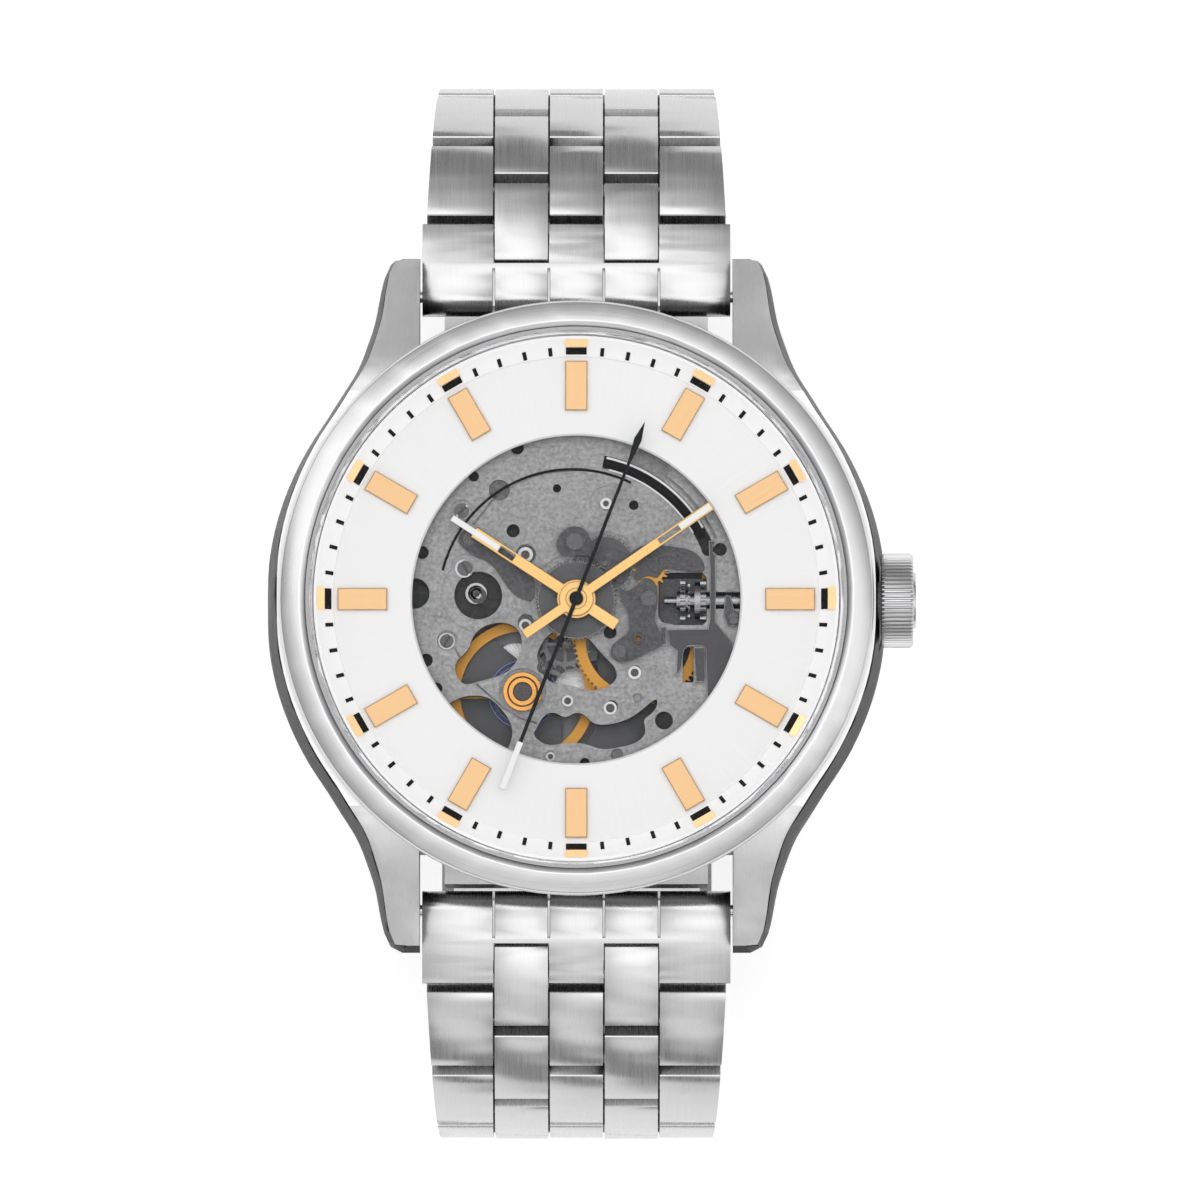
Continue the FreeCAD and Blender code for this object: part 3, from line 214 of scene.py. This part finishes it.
M = {}
M["bracelet"] = brushed("bracelet_brushed_steel", (0.54, 0.54, 0.545), 0.27, amount=0.06, bump=0.02, smudge=0.006)
M["case"] = case_material()
M["crown"] = brushed("crown_steel", (0.56, 0.56, 0.565), 0.30, grain=(240, 9000, 9000), amount=0.10)
M["mv_polished"] = brushed("movement_polished_steel", (0.30, 0.30, 0.305), 0.24, grain=(2500, 2500, 2500), amount=0.22, bump=0.08)
M["escape"] = brushed("escapement_steel", (0.12, 0.12, 0.122), 0.3, grain=(2500, 2500, 2500), amount=0.25, bump=0.08)
M["screw"] = brushed("movement_screw_steel", (0.085, 0.085, 0.088), 0.26, grain=(2500, 2500, 2500), amount=0.25, bump=0.08)
M["shock"] = ringbrushed("shock_setting_gold", (0.52, 0.26, 0.075), 0.28, "ring", amount=0.12)
M["edge"] = brushed("polished_steel_edge", (0.70, 0.70, 0.71), 0.32, grain=(900, 900, 900), amount=0.04, bump=0.03, smudge=0.03)
M["polished"] = brushed("polished_steel", (0.56, 0.56, 0.57), 0.12, grain=(1500, 700, 700), amount=0.06, bump=0.05)
M["bezel"] = ringbrushed("bezel_circular_brushed", (0.60, 0.60, 0.605), 0.30, "ring", amount=0.07)
M["caseback"] = ringbrushed("caseback_circular_brushed", STEEL, 0.27, "ring", amount=0.12)
M["gold_hand"] = brushed("hand_gold_brushed", (0.58, 0.365, 0.145), 0.30, grain=(7000, 7000, 400), amount=0.10, bump=0.15)
M["gear_gold"] = ringbrushed("wheel_gold", (0.40, 0.20, 0.045), 0.34, "ring", amount=0.14)
def plate_material():
    # sandblasted top face, with painted shade making it darker and duller down in the sinks and holes
    k = Mat("sandblasted_plate", (0.235, 0.235, 0.237), 0.85, 0.44)
    co = k.coords()
    g = k.noise(co, 4200.0, 2.0, 0.7)
    c = k.noise(co, 420.0, 3.0, 0.6)
    w = k.noise(k.mapped(co, (900, 5200, 900)), 1.0, 2.0, 0.6)
    v = k.math("ADD", k.math("MULTIPLY", g, 0.5), k.math("ADD", k.math("MULTIPLY", c, 0.35), k.math("MULTIPLY", w, 0.15)))
    col = k.tint(v, 0.55, 1.5, 0.32, 0.68)
    sp = k.new("ShaderNodeSeparateXYZ")
    k.link(co, sp.inputs[0])
    # painted shade: the colour darkens with depth below the plate's top face
    recess_painted_shade = k.maprange(sp.outputs[2], ZC + 6.55 * MM, ZC + 7.12 * MM, 0.13, 1.0)
    mx = k.new("ShaderNodeMix", data_type="RGBA", blend_type="MULTIPLY")
    mx.inputs[0].default_value = 1.0
    k.link(col, mx.inputs[6])
    k.link(k.combine(recess_painted_shade, recess_painted_shade, recess_painted_shade), mx.inputs[7])
    return k.out(mx.outputs[2], k.maprange(c, 0.3, 0.7, 0.38, 0.52), k.bump(g, 0.7, 1.2e-5))


def marker_material():
    # lengthwise brushing; the blocks out on the flange are painted a lighter gold as painted light, offsetting the
    # shade they sit in
    k = Mat("apricot_gold_brushed", (0.56, 0.36, 0.19), 1.0, 0.33)
    x, y, z, r, a = k.polar()
    fine = k.noise(k.combine(k.math("MULTIPLY", r, 260), k.math("MULTIPLY", k.math("SINE", a), 420.0), k.math("MULTIPLY", k.math("COSINE", a), 420.0)), 1.0, 3.0, 0.6)
    col = k.tint(fine, 0.90, 1.07)
    # painted light: colour raised on the flange blocks
    flange_blocks_painted_light = k.maprange(r, 15.8 * MM, 16.0 * MM, 1.0, 1.75)
    mx = k.new("ShaderNodeMix", data_type="RGBA", blend_type="MULTIPLY")
    mx.inputs[0].default_value = 1.0
    k.link(col, mx.inputs[6])
    k.link(k.combine(flange_blocks_painted_light, flange_blocks_painted_light, flange_blocks_painted_light), mx.inputs[7])
    # painted light: the small chamfers round the baton are made non-metallic, so they show lit gold in place of their
    # dark mirrored reflection
    g = k.new("ShaderNodeNewGeometry")
    sp = k.new("ShaderNodeSeparateXYZ")
    k.link(g.outputs["Normal"], sp.inputs[0])
    chamfer_painted_light_metal = k.math("MAXIMUM", k.maprange(sp.outputs[2], 0.80, 0.93, 0.0, 1.0), k.maprange(r, 15.7 * MM, 15.8 * MM, 0.0, 1.0))
    k.link(chamfer_painted_light_metal, k.p.inputs["Metallic"])
    return k.out(mx.outputs[2], k.maprange(fine, 0.3, 0.7, 0.28, 0.40), k.bump(fine, 0.12, 5e-6))


M["plate"] = plate_material()
M["gold"] = marker_material()
M["plate_flat"] = grainy("sandblasted_plate", (0.225, 0.225, 0.227), 0.44, 0.85, scale=4200, amount=0.5, bump=0.7, cloud_amt=0.22)
M["plate_edge"] = brushed("plate_bright_edge", (0.62, 0.62, 0.63), 0.55, grain=(2500, 2500, 2500), amount=0.12, bump=0.05)
M["bridge"] = ringbrushed("bridge_grained", (0.075, 0.075, 0.077), 0.35, "ring", amount=0.18)
M["dark"] = grainy("dark_steel_plate", (0.062, 0.062, 0.064), 0.36, 0.9, scale=4200, amount=0.4, bump=0.35)
M["dark_spring"] = brushed("dark_spring_steel", (0.060, 0.060, 0.062), 0.34, grain=(600, 9000, 600), amount=0.2)
M["rotor"] = ringbrushed("rotor_grey", (0.16, 0.16, 0.165), 0.36, "ring", amount=0.2)
M["ring"] = grainy("casing_ring", (0.12, 0.12, 0.12), 0.5, 0.3)
M["rubber"] = grainy("seal_nylon", (0.42, 0.42, 0.43), 0.5, 0.0)
M["black"] = brushed("black_lacquer", (0.008, 0.008, 0.009), 0.45, grain=(5000, 5000, 400), amount=0.3, metallic=0.0, bump=0.05)
M["print"] = grainy("black_print_and_slot_shade", (0.008, 0.008, 0.008), 0.5, 0.0, scale=12000, amount=0.3, bump=0.2, dist=4e-6)
M["black"].node_tree.nodes["Principled BSDF"].inputs["Specular IOR Level"].default_value = 0.12
M["print"].node_tree.nodes["Principled BSDF"].inputs["Specular IOR Level"].default_value = 0.08
M["rehaut"] = ringbrushed("flange_white_painted_glow", (0.97, 0.97, 0.97), 0.42, "ring", amount=0.04, metallic=0.0, bump=0.1)
# painted light: a faint white glow lifts the flange out of its shade
M["rehaut"].node_tree.nodes["Principled BSDF"].inputs["Emission Color"].default_value = (1.0, 1.0, 1.0, 1)
M["rehaut"].node_tree.nodes["Principled BSDF"].inputs["Emission Strength"].default_value = 0.16
M["lume"] = grainy("white_lume", (0.86, 0.87, 0.86), 0.6, 0.0, scale=12000, amount=0.03, bump=0.3, dist=6e-6)
M["jewel"] = grainy("jewel_dark", (0.022, 0.012, 0.014), 0.15, 0.0, scale=1500, amount=0.15, bump=0.03)
M["jewel"].node_tree.nodes["Principled BSDF"].inputs["Coat Weight"].default_value = 0.1
M["spring"] = brushed("hairspring_blue", (0.10, 0.14, 0.35), 0.25, amount=0.1)


def dial_material():
    k = Mat("dial_white_sunray", (0.80, 0.80, 0.80), 0.10, 0.42)
    x, y, z, r, a = k.polar()
    ray = k.noise(k.combine(k.math("MULTIPLY", r, 90), k.math("MULTIPLY", k.math("SINE", a), 120.0), k.math("MULTIPLY", k.math("COSINE", a), 120.0)), 1.0, 3.0, 0.6)
    fine = k.noise(k.coords(), 9000.0, 2.0, 0.6)
    v = k.math("ADD", k.math("MULTIPLY", ray, 0.75), k.math("MULTIPLY", fine, 0.25))
    k.p.inputs["Coat Weight"].default_value = 0.25
    k.p.inputs["Coat Roughness"].default_value = 0.2
    return k.out(k.tint(v, 0.965, 1.02), k.maprange(ray, 0.3, 0.7, 0.34, 0.44), k.bump(v, 0.12, 5e-6))


def crystal_material():
    k = Mat("sapphire_crystal", (0.55, 0.60, 0.66), 0.0, 0.03)
    lw = k.new("ShaderNodeLayerWeight")
    lw.inputs["Blend"].default_value = 0.25
    smear = k.noise(k.coords(), 120.0, 2.0, 0.5)
    k.link(k.maprange(lw.outputs["Facing"], 0.15, 1.0, 0.006, 0.45), k.p.inputs["Alpha"])
    r = k.maprange(smear, 0.3, 0.7, 0.015, 0.05)
    k.p.inputs["Coat Weight"].default_value = 1.0
    k.p.inputs["Coat Roughness"].default_value = 0.02
    k.m.surface_render_method = "BLENDED"
    return k.out(None, r, None)


M["dial"] = dial_material()
M["crystal"] = crystal_material()

NODE_MAT = {
    "case_middle": "case", "bezel": "bezel", "crystal": "crystal", "seals_and_tube": "rubber", "rehaut_ring": "rehaut", "dial": "dial",
    "hour_markers": "gold", "movement_ring": "ring", "caseback": "caseback", "main_plate": "plate", "train_bridge": "bridge",
    "balance_cock": "bridge", "dial_side_plates": "dark", "keyless_springs": "dark_spring", "movement_screws": "screw", "jewels": "jewel",
    "lug_spring_bars": "polished", "hairspring": "spring", "second_hand": "black", "fourth_wheel": "gear_gold", "minute_hand": "gold_hand",
    "cannon_pinion": "gold_hand", "hour_hand": "gold_hand", "hour_wheel": "bridge", "third_wheel": "gear_gold", "second_wheel": "gear_gold",
    "mainspring_barrel": "bridge", "minute_wheel": "bridge", "escape_wheel": "escape", "pallet_fork": "escape", "balance_wheel": "gear_gold",
    "rotor": "rotor", "ratchet_wheel": "bridge", "winding_pinion": "mv_polished", "sliding_pinion": "mv_polished", "crown": "crown",
    "winding_stem": "mv_polished", "setting_lever": "dark",
}


def dress(node, *mats):
    me = N[node].data
    me.materials.clear()
    for m in mats:
        me.materials.append(m)


def bevel(node, width_mm, edge=None, angle=35, seg=2):
    o = N[node]
    w = o.modifiers.new("join", "WELD")
    w.merge_threshold = 2e-7
    b = o.modifiers.new("edges", "BEVEL")
    b.width = width_mm * MM
    b.segments = seg
    b.limit_method = "ANGLE"
    b.angle_limit = math.radians(angle)
    b.use_clamp_overlap = True
    b.harden_normals = True
    if edge is not None:
        b.material = edge


for n in N:
    key = NODE_MAT.get(n, "bracelet")
    dress(n, M[key])

# ------------------------------------------------------------------ pieces made here
def mesh_piece(name, verts, faces, mat, body, smooth=False):
    me = bpy.data.meshes.new(name)
    me.from_pydata([tuple(c * MM for c in v) for v in verts], [], faces)
    me.validate()
    bm = bmesh.new()
    bm.from_mesh(me)
    bmesh.ops.recalc_face_normals(bm, faces=bm.faces)
    bm.to_mesh(me)
    bm.free()
    o = bpy.data.objects.new(name, me)
    scene.collection.objects.link(o)
    me.materials.append(mat)
    for p in me.polygons:
        p.use_smooth = smooth
    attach(o, body)
    return o


H0 = ZC / MM          # caseback height in mm


def slab(poly, z0, z1, bevel_in=0.0):
    # closed prism from a polygon (mm), with a small chamfer round its top
    n = len(poly)
    cx = sum(p[0] for p in poly) / n
    cy = sum(p[1] for p in poly) / n
    v = [(x, y, z0) for x, y in poly] + [(x, y, z1 - bevel_in) for x, y in poly]
    rings = 2
    if bevel_in > 0:
        top = []
        for i in range(n):
            (xa, ya), (xb, yb), (xc, yc) = poly[i - 1], poly[i], poly[(i + 1) % n]
            d1 = Vector((xb - xa, yb - ya)).normalized()
            d2 = Vector((xc - xb, yc - yb)).normalized()
            nrm = Vector((-(d1.y + d2.y), d1.x + d2.x))
            if nrm.length < 1e-6:
                nrm = Vector((cx - xb, cy - yb))
            nrm.normalize()
            top.append((xb + nrm.x * bevel_in, yb + nrm.y * bevel_in, z1))
        v += top
        rings = 3
    f = [tuple(range(n))[::-1]]
    for r in range(rings - 1):
        for i in range(n):
            j = (i + 1) % n
            f.append((r * n + i, r * n + j, (r + 1) * n + j, (r + 1) * n + i))
    f.append(tuple(range((rings - 1) * n, rings * n)))
    return v, f


def merge(parts):
    V_, F_ = [], []
    for v, f in parts:
        b = len(V_)
        V_ += v
        F_ += [tuple(i + b for i in t) for t in f]
    return V_, F_


def turned(parts, cw_deg):
    v, f = parts
    a = -math.radians(cw_deg)
    c, s = math.cos(a), math.sin(a)
    return [(x * c - y * s, x * s + y * c, z) for x, y, z in v], f


# luminous strips of the hands
HOUR_CW, MIN_CW, SEC_CW = 303.2, 55.4, 21.2
v, f = turned(slab([(-.20, 5.95), (.20, 5.95), (.20, 9.58), (-.20, 9.58)], H0 + 9.235, H0 + 9.31, 0.03), HOUR_CW)
mesh_piece("hour_hand_lume", v, f, M["lume"], "hours")
v, f = turned(slab([(-.20, 8.1), (.20, 8.1), (.20, 10.5), (-.20, 10.5)], H0 + 9.685, H0 + 9.755, 0.03), MIN_CW)
mesh_piece("minute_hand_lume", v, f, M["lume"], "minutes")
v, f = turned(slab([(-.19, -13.19), (.19, -13.19), (.19, -9.95), (-.19, -9.95)], H0 + 10.02, H0 + 10.075, 0.02), SEC_CW)
mesh_piece("second_hand_white_tail", v, f, M["lume"], "seconds")

# minute track printed on the flange's slope
SL = (10.18 - 8.95) / (16.78 - 15.7)


def tick(r0, r1, w, a_deg, lift=0.012, th=0.02):
    a = math.radians(a_deg)
    pts = []
    for (r, hw) in ((r0, w / 2), (r1, w / 2)):
        for s in (-1, 1):
            h = 8.95 + (r - 15.7) * SL
            for k in (lift, lift + th):
                # inwards and upwards of the cone
                nr, nz = -SL / math.hypot(1, SL), 1 / math.hypot(1, SL)
                rr = r + nr * k
                pts.append((rr * math.cos(a) - s * hw * math.sin(a), rr * math.sin(a) + s * hw * math.cos(a), H0 + h + nz * k))
    # order: (r0,-,lo)(r0,-,hi)(r0,+,lo)(r0,+,hi)(r1,-,lo)(r1,-,hi)(r1,+,lo)(r1,+,hi)
    f = [(0, 1, 3, 2), (4, 6, 7, 5), (0, 4, 5, 1), (2, 3, 7, 6), (1, 5, 7, 3), (0, 2, 6, 4)]
    return pts, f


ticks = []
for i in range(60):
    if i % 5:
        ticks.append(tick(15.78, 16.28, 0.25, 6.0 * i))
    else:
        ticks.append(tick(15.84, 16.24, 1.34, 6.0 * i, lift=0.035, th=0.03))
v, f = merge(ticks)
mesh_piece("minute_track", v, f, M["print"], "head")

# ------------------------------------------------------------------ small movement details
def turned_ring(cx, cy, r_out, r_in, h0, h1, n=44, ch=0.03):
    v, f = [], []
    prof = [(r_out, h0), (r_out, h1 - ch), (r_out - ch, h1), (r_in + ch, h1), (r_in, h1 - ch), (r_in, h0)]
    for i in range(n):
        a = 2 * math.pi * i / n
        v += [(cx + r * math.cos(a), cy + r * math.sin(a), H0 + h) for r, h in prof]
    m = len(prof)
    for i in range(n):
        j = (i + 1) % n
        for k in range(m):
            l = (k + 1) % m
            f.append((i * m + k, j * m + k, j * m + l, i * m + l))
    return v, f


def disc(cx, cy, r, h0, h1, n=36, ch=0.02):
    return slab([(cx + r * math.cos(2 * math.pi * i / n), cy + r * math.sin(2 * math.pi * i / n)) for i in range(n)], H0 + h0, H0 + h1, ch)


def arc_strip(cx, cy, r0, r1, a0, a1, h0, h1, n=40):
    pts = [(cx + r1 * math.cos(math.radians(a0 + (a1 - a0) * i / n)), cy + r1 * math.sin(math.radians(a0 + (a1 - a0) * i / n))) for i in range(n + 1)]
    pts += [(cx + r0 * math.cos(math.radians(a1 - (a1 - a0) * i / n)), cy + r0 * math.sin(math.radians(a1 - (a1 - a0) * i / n))) for i in range(n + 1)]
    return slab(pts, H0 + h0, H0 + h1, 0.0)


mesh_piece("shock_setting_rings", *merge([turned_ring(-3.47, -5.9, 1.27, 0.97, 7.25, 7.50), turned_ring(-3.47, -5.9, 0.92, 0.60, 7.25, 7.44)]), M["shock"], "head")
mesh_piece("left_pivot_setting", *merge([turned_ring(-6.47, 0.46, 0.72, 0.50, 6.95, 7.06), turned_ring(-6.47, 0.46, 0.40, 0.20, 6.95, 7.10)]), M["mv_polished"], "head")
mesh_piece("shock_setting_jewel", *disc(-3.47, -5.9, 0.59, 7.22, 7.33), M["jewel"], "head")
SPOTS = [(-3.29, 2.96, .50, .27, 7.30), (-3.29, -1.61, .42, .24, 7.32), (1.92, 6.27, .40, .18, 7.30), (-6.35, 0.29, .46, .20, 6.56),
         (-7.24, 2.07, .60, .44, 7.17), (3.77, -4.67, .44, .25, 7.30), (-0.56, -6.5, .38, .22, 7.30), (2.19, -6.96, .44, .27, 7.30),
         (-8.38, -2.63, .55, .42, 7.07), (-7.36, 5.76, .52, .38, 7.15), (-1.67, -10.1, .30, .17, 7.30)]
mesh_piece("bushing_rims", *merge([turned_ring(x, y, ro, ri, h - .02, h + .05, 32, 0.02) for x, y, ro, ri, h in SPOTS]), M["plate_edge"], "head")
mesh_piece("bushing_centres", *merge([disc(x, y, ri, h - .02, h + .012, 28, 0.005) for x, y, ro, ri, h in SPOTS]), M["jewel"], "head")
# painted shade: thin black slabs lying on the plate where the clamp slots are
mesh_piece("casing_clamp_slot_painted_shade", *merge([arc_strip(0, 0, 8.88, 9.30, 26, 79, 7.28, 7.315), arc_strip(-0.25, -0.15, 8.55, 8.72, 64, 166, 7.28, 7.315)]), M["print"], "head")
mesh_piece("casing_clamp_rail", *merge([arc_strip(0, 0, 9.36, 9.50, 30, 78, 7.28, 7.36), arc_strip(0, 0, 8.66, 8.76, 30, 76, 7.28, 7.36)]), M["plate_edge"], "head")
mesh_piece("winding_window_floor", *slab([(5.35, -1.5), (8.5, -1.5), (8.5, 1.5), (5.35, 1.5)], H0 + 5.49, H0 + 5.58, 0.02), M["dark"], "head")

# thin sleeves on the bracelet pins, filling the slits between the five columns
TILTS = [14, 27, 41, 56, 71, 85, 93, 98, 104, 111, 119, 127, 136, 145, 153, 160]
pins = [(23.2, H0 + 3.2 - (23.2 - 19.9) * math.tan(math.radians(9.0)))]
for t in TILTS:
    pins.append((pins[-1][0] + 2.7 * math.cos(math.radians(t)), pins[-1][1] - 2.7 * math.sin(math.radians(t))))


def sleeve(xc, y, z, hw, r, n=28):
    v, f = [], []
    for i in range(n):
        a = 2 * math.pi * i / n
        for (x, q) in ((xc - hw, r - 0.03), (xc - hw + 0.015, r), (xc + hw - 0.015, r), (xc + hw, r - 0.03)):
            v.append((x, y + q * math.cos(a), z + q * math.sin(a)))
    for i in range(n):
        j = (i + 1) % n
        for k in range(3):
            f.append((i * 4 + k, j * 4 + k, j * 4 + k + 1, i * 4 + k + 1))
    f.append(tuple(i * 4 for i in range(n))[::-1])
    f.append(tuple(i * 4 + 3 for i in range(n)))
    return v, f


for side, sg in ((12, 1), (6, -1)):
    for k in range(8):
        parts_ = []
        for (y, z) in (pins[2 * k], pins[2 * k + 1]):
            for x in (-5.35, -1.78, 1.78, 5.35):
                parts_.append(sleeve(x, sg * y, z, 0.045, 1.02))
        v, f = merge(parts_)
        mesh_piece("pin_sleeves_%d_%d" % (side, k + 1), v, f, M["dark_spring"], "b%d_%d" % (side, k + 1))

# ------------------------------------------------------------------ edges of the CAD parts
dress("main_plate", M["plate"], M["plate_edge"])
bevel("main_plate", 0.055, 1, 40, 1)
dress("case_middle", M["case"], M["edge"])
bevel("case_middle", 0.11, 1, 40, 2)
dress("bezel", M["bezel"], M["bezel"])
bevel("bezel", 0.06, 1, 25, 2)
for n in ("dial_side_plates", "keyless_springs", "setting_lever"):
    dress(n, M[NODE_MAT[n]], M["plate_edge"])
    bevel(n, 0.035, 1, 40, 1)
for n in ("hour_hand", "minute_hand"):
    dress(n, M["gold_hand"], M["gold_hand"])
    bevel(n, 0.05, 0, 40, 2)
dress("movement_screws", M["screw"], M["plate_edge"])
bevel("movement_screws", 0.04, 1, 40, 1)
for n in ("train_bridge", "balance_cock", "minute_wheel", "hour_wheel"):
    dress(n, M[NODE_MAT[n]], M["plate_edge"])
    bevel(n, 0.04, 1, 40, 1)
bevel("second_hand", 0.03, 0, 40, 2)
for n in N:
    if n.startswith("link_") or n.startswith("end_link"):
        dress(n, M["bracelet"], M["bracelet"])
        bevel(n, 0.10, 1, 33, 2)
    elif n.startswith("clasp_"):
        dress(n, M["bracelet"], M["bracelet"])
        bevel(n, 0.12, 1, 40, 2)
dress("crown", M["crown"], M["polished"])
bevel("crown", 0.04, 1, 35, 1)

# ------------------------------------------------------------------ floor, light, camera
fm = Mat("floor_white", (0.93, 0.93, 0.93), 0.0, 0.75)
fn = fm.noise(fm.coords(), 900.0, 3.0, 0.5)
fm.p.inputs["Emission Color"].default_value = (1.0, 1.0, 1.0, 1)
fm.p.inputs["Emission Strength"].default_value = 0.35
floor_mat = fm.out(fm.tint(fn, 0.995, 1.0), fm.maprange(fn, 0.3, 0.7, 0.7, 0.8), None)
bpy.ops.mesh.primitive_plane_add(size=4.0, location=(0, 0, 0))
floor = bpy.context.object
floor.name = "floor"
floor.data.materials.append(floor_mat)


def area(name, loc, target, size, power, color=(1, 1, 1), size_y=None):
    d = bpy.data.lights.new(name, "AREA")
    d.energy = power
    d.color = color
    d.shape = "RECTANGLE" if size_y else "SQUARE"
    d.size = size
    if size_y:
        d.size_y = size_y
    o = bpy.data.objects.new(name, d)
    o.location = loc
    o.rotation_euler = (Vector(target) - Vector(loc)).to_track_quat("-Z", "Y").to_euler()
    o.visible_camera = False
    scene.collection.objects.link(o)
    return o


C0 = (0.0, 0.0, 0.035)
area("top_soft", (0.0, 0.10, 0.75), C0, 0.55, 0.55)
area("top_left", (-0.55, 0.35, 0.55), C0, 0.35, 0.8, size_y=0.7)
area("right_fill", (0.60, -0.10, 0.45), C0, 0.30, 0.5, size_y=0.7)
area("front_fill", (0.0, -0.70, 0.50), C0, 0.7, 0.5, size_y=0.3)

world = bpy.data.worlds.new("studio")
scene.world = world
world.use_nodes = True
wt = world.node_tree
bg = wt.nodes["Background"]
tc = wt.nodes.new("ShaderNodeTexCoord")
sx = wt.nodes.new("ShaderNodeSeparateXYZ")
rp = wt.nodes.new("ShaderNodeValToRGB")
wt.links.new(tc.outputs["Generated"], sx.inputs[0])
wt.links.new(sx.outputs[2], rp.inputs[0])
wt.links.new(rp.outputs[0], bg.inputs[0])
el = rp.color_ramp.elements
SKY = [(0.0, 0.17), (0.34, 0.21), (0.50, 0.28), (0.64, 0.40), (0.77, 0.60), (0.87, 0.80), (0.94, 0.95), (1.0, 1.0)]
el[0].position, el[0].color = SKY[0][0], (SKY[0][1],) * 3 + (1,)
el[1].position, el[1].color = SKY[-1][0], (SKY[-1][1],) * 3 + (1,)
for p_, c_ in SKY[1:-1]:
    el.new(p_).color = (c_, c_, c_, 1)
bg.inputs[1].default_value = 1.45

DIST = 1.5
ELEV = math.radians(87.0)
target = Vector((1.53e-3, -0.06e-3, ZC + 9.0e-3))
cam_d = bpy.data.cameras.new("camera")
cam_d.sensor_width = 36.0
cam_d.lens = 36.0 * DIST / (1200 / 15.5 * MM)
cam_d.clip_start = 0.1
cam_d.clip_end = 10.0
cam = bpy.data.objects.new("camera", cam_d)
cam.location = target + Vector((0, -math.cos(ELEV), math.sin(ELEV))) * DIST
cam.rotation_euler = (target - cam.location).to_track_quat("-Z", "Y").to_euler()
scene.collection.objects.link(cam)
scene.camera = cam
scene.view_settings.view_transform = "Standard"
